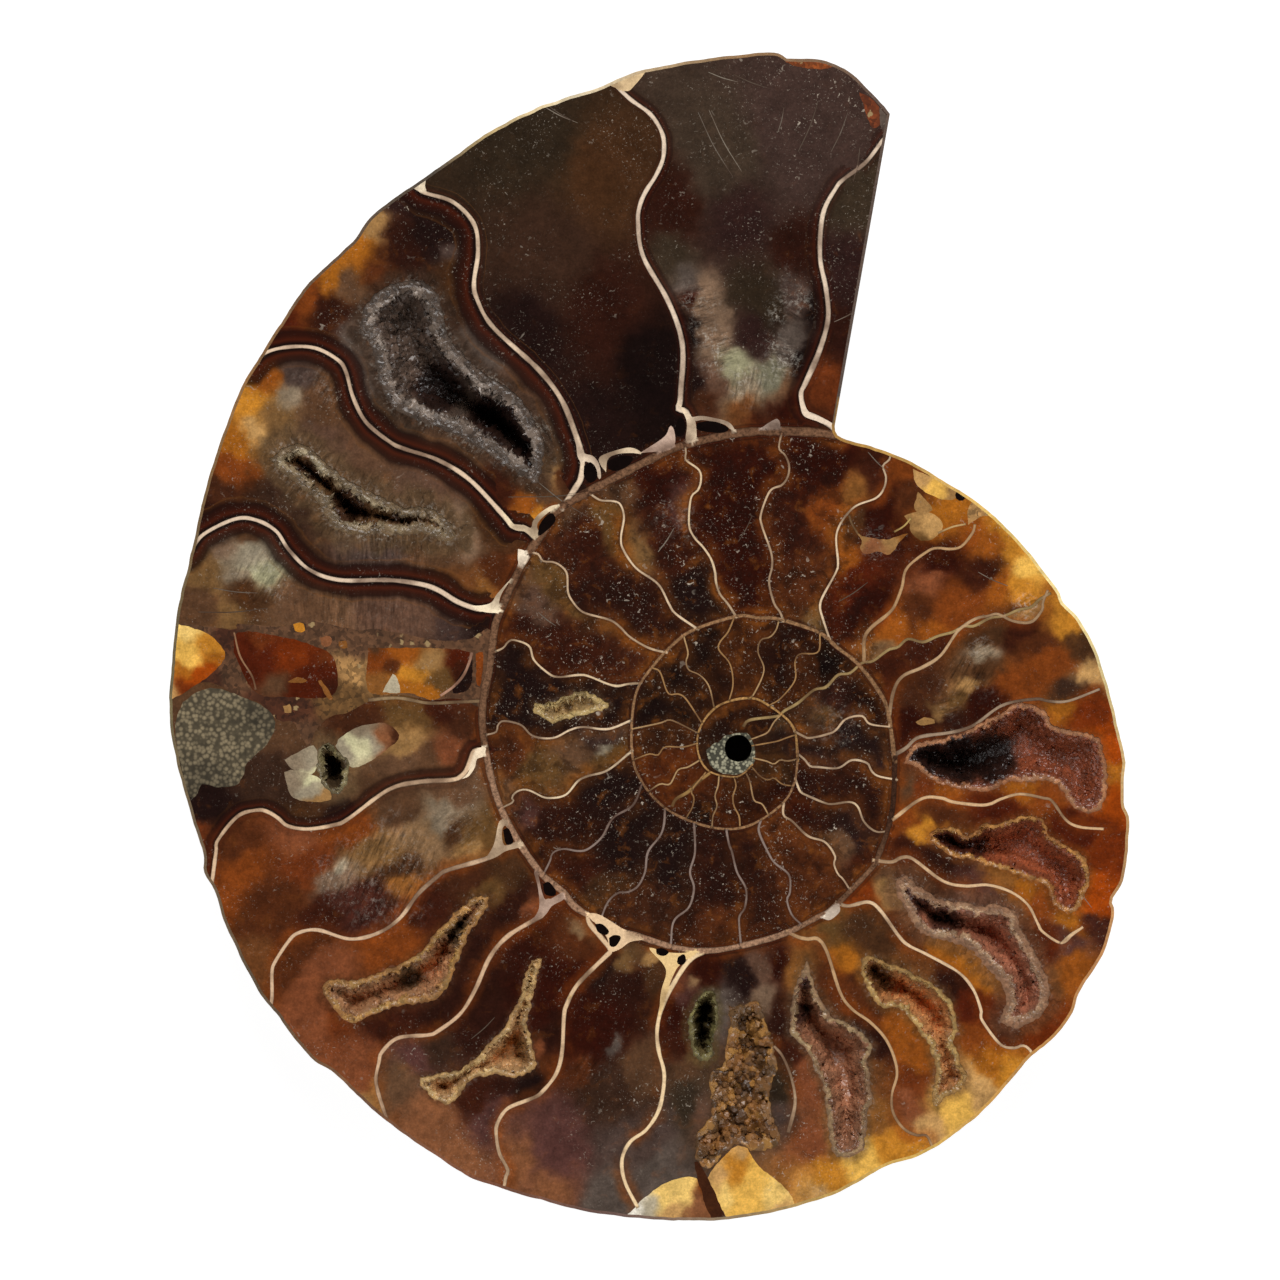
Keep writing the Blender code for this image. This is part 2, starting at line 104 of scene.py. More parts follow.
# Walls between the turns of the coil: line, width, colour
coilWalls = [
    (pairs(10.4, 31.6, 7, 32, 1, 32, -5, 30.8, -8.5, 29.4, -15, 26, -18.3, 24, -19.5, 22, -21.5, 19,
        -23.8, 14, -24.4, 12, -24.9, 8, -25.4, 6, -25.5, 2, -24.3, -4, -22.5, -8, -19.8, -12, -17.5, -14,
        -16, -15.7, -12, -17.8, -10, -18.4, -6, -19.6, -2, -19.8, 4, -18.4, 8, -16.5, 9.5, -15.6,
        13.3, -11.7, 14, -10.5, 15.4, -6, 15.7, -0.3), (1.1, 0.9, 0.6), "6e523e"),
    (pairs(15.7, -1, 15, 4, 14, 6.2, 12, 8.8, 10, 10.4, 8, 12, 4, 13.3, 2, 13.4, 0, 13.6, -4, 12.4,
        -6, 11.2, -8.5, 8.6, -10.3, 5.5, -10.6, 0, -9.6, -3, -7.4, -5.5, -4.5, -7, -1.3, -7.7, 1.5, -7.2,
        4.5, -5.1, 5.7, -2.8, 6, 0.2), (0.6, 0.38, 0.3), "86674a"),
    (pairs(6, -1, 5.5, 2.5, 3, 4.7, 1, 5.4, -2, 4.6, -3.8, 2.4, -4, 0, -2.9, -1.9, -0.5, -2.5, 0.6, -2.1,
        1.5, -1.2), (0.34, 0.3, 0.22), "9c7a4e"),
]

# Septa of the outer turn, from the mouth inwards: line from the rim, colour,
# then the dark band's width and strength towards the mouth and away from it
outerSepta = [
    (pairs(15.6, 61.9, 14.6, 61.3, 12.8, 59, 10.6, 57.3, 9.8, 56.4, 8.5, 53.8, 8.2, 49.6, 8.8, 46.3,
        9, 43.3, 8.1, 40, 6.8, 37, 6.3, 35.8, 6.7, 34, 7.5, 33.6, 9.2, 32.7, 10, 31.9), "cbb8a4", 0.8, 0.4,
        1.3, 0.6),
    (pairs(-12.8, 67.6, -12.3, 66.8, -10.8, 65.3, -9, 64, -8.1, 62.9, -7.5, 61.6, -7.4, 60.2, -7.6, 59,
        -8.3, 57.5, -9.2, 56.1, -9.8, 54.7, -10, 53, -9.5, 49.6, -7.2, 45.5, -5.9, 42.3, -5.5, 39.7,
        -5.7, 36.5, -5.8, 35, -6, 34.3, -5.2, 34, -4.7, 32.5, -4.9, 31.4), "cbb8a4", 0.9, 0.7, 0.5, 0.3),
    (pairs(-33, 57.1, -32.3, 56.9, -31.5, 56, -28.5, 55, -26.4, 52.8, -26, 50, -26.4, 47, -26.1, 45.3,
        -24.5, 42.5, -20, 38.3, -17.7, 35.3, -16.4, 32.2, -15.6, 29.5, -15.7, 27.5, -16.2, 26.5,
        -17.7, 24.2), "cfbaa2", 0.7, 0.4, 2.3, 1.0),
    (pairs(-48.6, 38.6, -47.3, 39.9, -45, 40.5, -42.3, 40.4, -40, 39.2, -39.2, 38, -38.5, 35.5, -37.2, 33,
        -34.8, 31, -33.3, 30.3, -30, 29.2, -26.8, 27.2, -23.4, 23.6, -22.6, 22.6, -22, 22.5, -21.3, 22.3,
        -20.1, 21.3), "cbb49c", 1.9, 1.0, 1.9, 1.0),
    (pairs(-55.4, 19.6, -54.7, 20.2, -53.4, 21.8, -50.3, 23.3, -48.2, 23.2, -46.2, 22.1, -44.9, 20.2,
        -42.8, 18.2, -39.8, 17.2, -35, 17.2, -31.8, 16.8, -30, 16.2, -28, 15, -26, 14.3, -25, 14.4,
        -23.8, 14.2), "c9b49e", 1.9, 1.0, 1.9, 1.0),
    (pairs(-52.7, -13.8, -52.2, -10, -52, -8.8, -50, -6.4, -48, -5.8, -47, -6, -46, -6.6, -45, -7.4,
        -43, -7.7, -40.4, -7.3, -39, -6.7, -35, -3.8, -32, -3, -28.8, -2.8, -27.8, -2.5, -27.1, -1.7,
        -26.5, -0.1, -26, 0.2, -25.2, 0.1), "c8ad90", 1.3, 0.85, 0.8, 0.3),
    (pairs(-46.8, -25.6, -46.6, -24.5, -46.6, -22, -46.3, -21, -45, -19, -44, -18.1, -42, -17.8,
        -38.8, -18.7, -36, -18.1, -33.8, -16.6, -32, -14.2, -30, -12.4, -29, -11.8, -25, -10.6, -23.2, -9.6,
        -22, -9.1), "c2a68a", 0.8, 0.2, 0.8, 0.3),
    (pairs(-34.9, -37.2, -35.5, -35.6, -36.2, -33, -35.9, -31, -35.6, -30, -34, -28.6, -31, -28.3,
        -30, -27.9, -27.8, -26.2, -26.3, -23.8, -24.8, -20.5, -23, -18.4, -20.2, -16.7, -19.5, -16.2,
        -19.2, -15, -18.5, -14.9, -17.4, -14.2), "bfa184", 1.0, 0.4, 1.0, 0.5),
    (pairs(-23.4, -43.6, -23.2, -42.4, -23, -42, -23.2, -41.4, -23.9, -40, -24.2, -38, -24, -37, -23.4, -36,
        -22.6, -35.4, -20.5, -34.6, -19.6, -34, -18.2, -32.2, -17.6, -30, -17.4, -26.4, -17.1, -25.2,
        -16, -23.2, -13.2, -20.4, -12.8, -20, -13, -19.4, -14.8, -17.2, -15, -16.4), "c8ac8c", 1.0, 0.4,
        1.0, 0.5),
    (pairs(-10, -45.6, -11.3, -43, -11.6, -40.8, -10.8, -39, -9.2, -37.8, -8, -36, -7.5, -34, -7.4, -32,
        -7.9, -30, -8.1, -28, -7.7, -25.8, -6.8, -23.8, -5, -21, -3.2, -19.8), "d8bf9a", 0.9, 0.3, 1.2,
        0.6),
    (pairs(3.6, -29.4, 4.5, -30.5, 5.4, -32.8, 5.7, -35.2, 5, -38.1), "a58c72", 0.6, 0.3, 0.8, 0.3),
    (pairs(19.7, -40.2, 19.1, -38.7, 18.7, -38.3, 17.8, -38.3, 16.5, -37.6, 15.5, -36, 15.4, -34.2,
        15.9, -32.3, 15.6, -30.5, 14.7, -28.6, 13.2, -27, 11.4, -25.7, 10.2, -24, 8.9, -20, 8, -18.7,
        7, -18.7, 6, -18.5, 4.8, -17.9), "b0906c", 0.9, 0.4, 0.9, 0.3),
    (pairs(30.2, -31, 29.5, -30.3, 29.2, -29.8, 28.7, -29.4, 28.2, -29.4, 27.6, -29.6, 26.2, -29.2,
        24.4, -26.8, 24.3, -25.8, 23.5, -23.7, 22, -22, 19, -20.3, 17, -19.3, 16, -18.3, 14.2, -15.8,
        13, -15, 11, -15.4, 9.7, -15), "cbb090", 0.9, 0.4, 0.8, 0.3),
    (pairs(34.5, -17.5, 33.4, -18.3, 32.3, -19.1, 30.5, -18, 30, -17.2, 29, -15.3, 27.3, -14, 25, -13.3,
        22.7, -13.4, 20.5, -12.9, 17.8, -10.9, 17, -10.5, 16.2, -10.6, 15.3, -11, 13.4, -10.8), "c4a684",
        0.8, 0.4, 1.1, 0.5),
    (pairs(36.6, -7.7, 34.2, -7.5, 32.8, -6.8, 31.4, -4.9, 30.5, -4.6, 28.2, -4.2, 26.3, -4.7, 25.2, -5.2,
        24, -5.3, 21.5, -5, 20.3, -4.6, 18.3, -4.7, 15.4, -6.8), "c0a07c", 0.5, 0.2, 1.0, 0.4),
    (pairs(36.2, 6.3, 33, 5.1, 31, 5.1, 29.8, 5.3, 26.5, 4.7, 23.6, 2.7, 21.5, 2, 18.6, 1.6, 17.6, 1.2,
        16.8, 0.4, 15.4, -0.4), "94806c", 0.8, 0.4, 0.5, 0.3),
    (pairs(31, 16.2, 30.5, 15, 30.4, 14.2, 29.3, 13, 27.5, 13.1, 26, 13.8, 25, 13.6, 23.7, 13.3, 22, 12.1,
        20.3, 9.7, 18.5, 8.5, 16.5, 7.6, 15.6, 6.2, 15.1, 3.6), "ac9070", 0.7, 0.2, 0.8, 0.4),
    (pairs(23.7, 22.8, 23.5, 22, 22.7, 20.9, 22, 20.4, 21, 20.3, 20, 20.4, 19, 20.1, 16.9, 18.4, 16.4, 16.5,
        15.7, 14.7, 15, 13.8, 12.8, 11.8, 12.6, 9.1), "ac8c68", 0.7, 0.3, 0.7, 0.4),
]
outerSeptumWidths = (0.42, 0.46, 0.6)

# Septa of the second turn, all with the same band, and of the turns inside it
secondSepta = [
    pairs(15.3, 29.8, 15.1, 29.2, 14.5, 28.6, 14.8, 27.5, 14.6, 26.4, 13.8, 25.4, 11.5, 24.4, 9.9, 22,
        10, 19, 9.8, 18, 8.5, 15.6, 8.2, 14.6, 8.4, 13.6, 9.3, 10.9),
    pairs(4.4, 32, 4.1, 30.4, 4.7, 29.7, 5.1, 28.7, 5, 27.6, 4.4, 26.7, 3.2, 26.1, 2.3, 23.8, 2.4, 22.6,
        3.3, 20, 3.4, 18.5, 3.1, 17, 3.6, 14.9, 4.2, 14, 4.6, 13),
    pairs(-5.3, 30.8, -5.2, 29.9, -5.2, 29.2, -3.9, 28.2, -3.7, 27.2, -4, 26.2, -4.7, 25.4, -4.9, 22.8,
        -4.4, 21.5, -3.5, 20.5, -2.7, 19.3, -2.3, 18, -2.2, 17, -1.8, 15.8, -1, 14.8, -0.1, 13.4),
    pairs(-14.9, 25.9, -13.8, 25.2, -12.6, 25.1, -11.8, 24.8, -11.4, 23.5, -11.7, 21.5, -11.5, 20.3,
        -10.2, 18.4, -8, 16.8, -6.9, 14.8, -6.2, 13.8, -3.9, 12.2),
    pairs(-20.9, 19.9, -20, 19.8, -19.5, 19.1, -18.5, 19, -17.7, 18.6, -17.1, 17.8, -17, 16, -16.5, 15,
        -15.8, 14.2, -15, 13.8, -12.8, 13.2, -11.8, 12.5, -10.8, 11.5, -8.9, 10.4, -7, 9.9),
    pairs(-24.6, 9.9, -23.5, 10.4, -23, 11, -22.4, 11.2, -20.9, 10.6, -20.4, 9.2, -19, 7.9, -18, 7.5,
        -16, 7.7, -15, 7.6, -13, 6.8, -12, 6.6, -11, 6.8, -9.6, 6.9),
    pairs(-25.3, 1.7, -24.2, 2, -24, 2.7, -23.4, 3.1, -21.7, 2.7, -20.5, 1.6, -18.5, 1.4, -16.8, 2.2,
        -15.5, 2.5, -13, 2.3, -10.6, 3.2),
    pairs(-23.7, -5.6, -22.5, -5, -22.6, -4.5, -22, -3.9, -21, -3.8, -19.5, -4.5, -18.8, -4.6, -17.8, -4.5,
        -17, -4.1, -16, -2.9, -15, -2.4, -13, -1.8, -10.5, 0.2),
    pairs(-19.5, -12.3, -18.8, -10.9, -18.6, -10.2, -18, -9.8, -17.2, -9.7, -16, -9.9, -15, -9.7,
        -13.6, -8.5, -12.5, -6.6, -10.5, -5.3, -9.6, -3.2),
    pairs(-13.8, -16.9, -13, -15, -12, -14.1, -11, -14, -10, -13.4, -9.3, -12, -9, -10, -7.8, -8.4,
        -7.4, -7.2, -7.3, -5.6),
    pairs(-6.7, -19.5, -6.6, -17.6, -6.2, -16.6, -4.9, -15.5, -4.4, -13.6, -4.8, -12, -4.3, -10, -4.4, -7),
    pairs(0.3, -19.4, 0.1, -17, 0.2, -16.3, 0.7, -15.5, 0.8, -13.7, -0.1, -12, -0.6, -10, -0.9, -9.2,
        -1.2, -7.6),
    pairs(6.4, -17.3, 5.4, -16.3, 4.9, -14.8, 5.2, -14, 5.1, -12.3, 3.8, -11.2, 3.2, -10.4, 2.1, -8,
        2.3, -6.8),
    pairs(11.2, -13.8, 10.5, -12.7, 10, -12.2, 9.6, -11.2, 9.7, -10.4, 8.7, -9, 7, -8.4, 5.4, -6.9,
        4.7, -6.5, 4.5, -6, 4.6, -5),
    pairs(15, -7.9, 14, -8, 13.2, -7.6, 12.5, -6.8, 12, -5.5, 11.2, -5, 9.5, -5.2, 8.7, -5.1, 6.8, -4.3,
        6.2, -3.9, 5.7, -2.6),
    pairs(16, -2.8, 14, -2.4, 13.3, -1.8, 12.9, -1.1, 11.4, -0.8, 10, -1.6, 8, -1.5, 7.2, -1.4, 6.7, -0.8,
        5.9, -0.1),
    pairs(15.3, 2.5, 13.2, 2.8, 12.4, 3.6, 10.8, 3.3, 9.8, 2.2, 9, 1.8, 7.2, 1.4, 6.5, 1.6, 5.6, 2.1),
]
innerSepta = [
    pairs(8.2, 11.9, 8, 10, 6.2, 9.8, 5.7, 9, 5.7, 7.2, 4.3, 5.4, 3.2, 4.7),
    pairs(4.1, 13.2, 3.8, 12.2, 3.2, 11.5, 2.3, 11.2, 2, 10, 2.6, 8.2, 1.7, 6, 1.1, 5.3),
    pairs(-0.4, 13.4, -1, 12, -1.8, 11, -1.9, 10.2, -0.8, 8.8, -0.5, 6.8, -0.9, 5.1),
    pairs(-5.4, 11.5, -5, 9.9, -5.2, 9, -4.9, 8.2, -4, 7.8, -3.3, 7.2, -2.8, 6.3, -2.4, 4.5),
    pairs(-8.6, 8.4, -7.8, 8, -7, 5.9, -6, 5.8, -5.2, 5.3, -3.6, 2.9),
    pairs(-10.6, 2.3, -7.8, 2.9, -7, 3.2, -6.2, 3, -4, 1.9),
    pairs(-10.5, -0.8, -8.9, -0.2, -8, -0.3, -7.3, 0.5, -5.5, 0.5, -4, 0.9),
    pairs(-8.9, -3.9, -7.8, -3.2, -6.8, -3.2, -6, -1.8, -5, -1.5, -3.8, -0.8),
    pairs(-5.2, -6.6, -4.6, -5.6, -4.4, -4.6, -4.6, -3.8, -3.2, -2),
    pairs(-2.6, -7.5, -2.5, -6.4, -2.1, -5.4, -2.3, -4.4, -2, -3.4, -1.9, -2.4),
    pairs(0.2, -7.5, 0.1, -6.4, -0.4, -5.4, -0.5, -4.4, -0.2, -3.4, -0.4, -2.5),
    pairs(3, -6.2, 2.4, -5.2, 1.6, -4.8, 1.2, -3, 0.8, -2.1),
    pairs(5.4, -3.4, 4.4, -3.2, 3.6, -2.6, 3, -2.8, 2.2, -2.4, 1.3, -1.4),
    pairs(5.9, -0.7, 5, -0.9, 4.2, -0.8, 3.6, -1.2, 2.8, -0.9, 1.5, -0.6),
    pairs(5.7, 1.7, 4.8, 1.4, 4, 1.1, 3, 0.9, 1.3, 0.6),
    pairs(4.3, 3.7, 3.6, 3, 3, 2, 2.2, 1.6, 1.1, 1.2),
]

# Cream fillets and fins where septa meet the wall below them
fillets = [
    (pairs(-15.2, -16.1, -13.2, -18.4, -12.8, -19.9, -11.8, -19.7, -10.8, -19, -9.5, -18.7, -11, -18,
        -13.8, -16.3), "d0b492"),
    (pairs(-33.2, 57.2, -32.2, 57.9, -31.2, 57.9, -31.3, 56.6, -31.2, 56.1, -32.2, 56.2), "cfc0a8"),
    (pairs(-13.6, 67, -11.4, 67.6, -9.2, 68.3, -10.4, 66.6, -11.3, 66.1), "c9b08a"),
    (pairs(-9.8, 29.9, -7.4, 31.5, -6.8, 32.6, -6.4, 32.2, -6.3, 30.9, -7, 30.2), "b79f8f"),
    (pairs(-6, 34.9, -4.9, 33.7, -4.3, 33.2, -4.2, 31.2, -5.2, 31.1, -5.1, 32.6, -5.3, 33.6), "d3c0a6"),
    (pairs(-4.5, 33.5, -3.5, 33.6, -1.5, 33.2, -0.7, 32.8, -0.3, 32.1, -0.8, 32.3, -1.5, 32.8, -3.5, 33.2,
        -4.2, 33.1), "d0bea6"),
    (pairs(2.2, 32.3, 3.2, 33, 4, 33.3, 4.1, 32.4), "a8988c"),
    (pairs(6.2, 35.4, 7.2, 33.9, 8.2, 33.5, 9.4, 32.8, 7.2, 33.3, 6.4, 33.9), "d0beaa"),
    (pairs(-16.2, 31, -15.4, 29.9, -14.5, 29.6, -13.9, 28.8, -13.7, 27.6, -13.9, 27.3, -14.4, 28.4, -15, 29,
        -15.7, 28.9, -15.9, 27.6, -16.8, 25.8, -17.6, 24.7, -17, 24.9, -15.3, 27.6, -15.3, 28.6, -16, 29.4),
        "cdbaa4"),
    (pairs(-13.2, 28, -13.8, 28.8, -13.7, 29.6, -11.3, 30.4, -10.2, 30.3, -9.6, 29.8, -10.6, 29.9,
        -12, 29.8, -13, 29.3), "cfbca0"),
    (pairs(-23.6, 24.1, -22.4, 22.8, -21.4, 22.7, -20.7, 22.4, -20.5, 23.1, -19.8, 23.9, -18.7, 24.6,
        -17.8, 24.7, -18.9, 24, -19.8, 23.2, -20.1, 22.6, -19.9, 21.8, -20.4, 21.3, -21.2, 22, -22.3, 22.2,
        -23, 22.9), "d8c6a8"),
    (pairs(-26.6, 14.6, -25.4, 14.7, -24.6, 15, -24.1, 15.8, -22.7, 17.3, -23.6, 15.9, -23.9, 14.9,
        -23.8, 14, -25.4, 14), "e0d0b4"),
    (pairs(-22, 20.3, -21.3, 20.1, -21.1, 19.3, -21.6, 18.5, -22, 19.1), "dccdb8"),
    (pairs(-27.6, -2.7, -26.9, -1.9, -26.2, 0.1, -25.3, 0.5, -25.4, -0.4, -26.1, -0.7, -26.3, -1.5,
        -26.9, -2.4), "dccab0"),
    (pairs(-25.2, -10.6, -24.4, -9.2, -23.9, -7, -23.2, -6.8, -23, -7.3, -23.5, -7.5, -23.6, -8.6,
        -23.2, -9.4, -21.6, -9, -21.8, -9.5, -23.2, -9.9, -24.2, -10.5), "bda78c"),
    (pairs(-20.6, -16.9, -19.9, -15.6, -20, -13.6, -20.4, -12, -20, -12.2, -19.6, -14, -19.1, -14.8,
        -17.6, -14.1, -17.4, -14.7, -18.6, -15.4, -19.3, -16.3), "a89080"),
    (pairs(-16.9, -24.6, -15.4, -22.8, -15, -20, -15.4, -18, -15.3, -16.6, -14.2, -18.4, -12, -19.4,
        -10.3, -19.1, -11.9, -18.5, -14, -17.6, -14.9, -16.6, -14.6, -17.6, -13.2, -19.2, -12.7, -20.1,
        -13.8, -21.2), "c9ab78"),
    (pairs(-7.9, -26.4, -7.7, -24, -7.2, -22.2, -7.5, -21.2, -8.9, -19.6, -7.2, -20, -5.6, -20.1, -4, -19.9,
        -5.6, -21.1, -6.5, -22.4), "d3b685"),
    (pairs(8.4, -16.6, 9.2, -16.8, 10.2, -15.9, 9.8, -15.2), "cdbfae"),
]
# Small siphuncle holes between the fillets, drawn flat and painted near black as their shade
shadedSiphuncleHoles = [
    pairs(-6.3, 32.4, -5.9, 33.4, -5.4, 33.2, -5.2, 32.4, -5.5, 31.7, -6.1, 31.6),
    pairs(-4.1, 32.9, -3, 33.1, -1.8, 32.9, -0.9, 32.3, -1.8, 31.9, -4, 32.2),
    pairs(-15.4, 28.6, -14.8, 29, -14.2, 28.4, -14.1, 27.4, -14.8, 26.9, -15.4, 27.6),
    pairs(-13, 28.3, -12.9, 29.1, -11.7, 29.6, -10.5, 29.5, -11, 28.6, -12.2, 28.1),
    pairs(-19.9, 22.6, -19.4, 23.4, -18.6, 23.9, -18.3, 23, -19.9, 21.6),
    pairs(-23.5, -7.8, -23, -7.6, -22.6, -8.4, -22.5, -9.1, -23.2, -9.2),
    pairs(-19.5, -13.2, -18.9, -13, -18.2, -13.9, -18.4, -14.4, -19.3, -14.2),
    pairs(-14.3, -17.2, -13.6, -17.2, -12.9, -17.9, -13.2, -18.3, -14, -18),
    pairs(-12.9, -18.6, -12.4, -18.3, -11.7, -18.5, -12.2, -19.4, -12.8, -19.4),
    pairs(-8.2, -19.7, -7.6, -19.6, -6.9, -20, -7.4, -20.4, -8.1, -20.2),
    pairs(-6, -20.5, -5.4, -20.2, -5.2, -20.9, -5.6, -21.3, -6.1, -21.1),
]


# Colours seen in the polished stone, as sRGB hex
stoneColours = {
    "night": "1a0f0d", "soot": "241512", "umber": "321911", "oxblood": "35140b", "plum": "33201d",
    "chestnut": "3f1e12", "peat": "3e2a1f", "mud": "3e3226", "slate": "46352f", "liver": "47261d",
    "cocoa": "482919", "brick": "52210f", "moss": "4a301d", "ash": "504039", "mauve": "54362f",
    "bark": "552e18", "khaki": "5c412d", "taupe": "63493a", "russet": "6b3619", "brickred": "743311",
    "ginger": "6e4526", "olive": "664a2a", "drab": "674b36", "dust": "79624f", "rose": "5c3c36",
    "copper": "7d421a", "terracotta": "804c30", "clay": "84573a", "fawn": "85684a", "oat": "877763",
    "haze": "988c77", "amber": "90521c", "fire": "9a470f", "honey": "9f6320", "ochre": "86592d",
    "straw": "98754a", "gold": "b87e2e", "sand": "bd9560", "buff": "dbae58", "butter": "e0bd72",
    "bone": "b0a48c", "granite": "5d5149", "pyrite": "645a48", "pyriteLight": "786c56",
    "crescent": "8a8672", "pale": "c4bd98", "ivory": "e2dbcd", "tan": "785a38", "mudstone": "44372c",
    "bog": "33281d", "sage": "77725e", "lichen": "918c70",
}

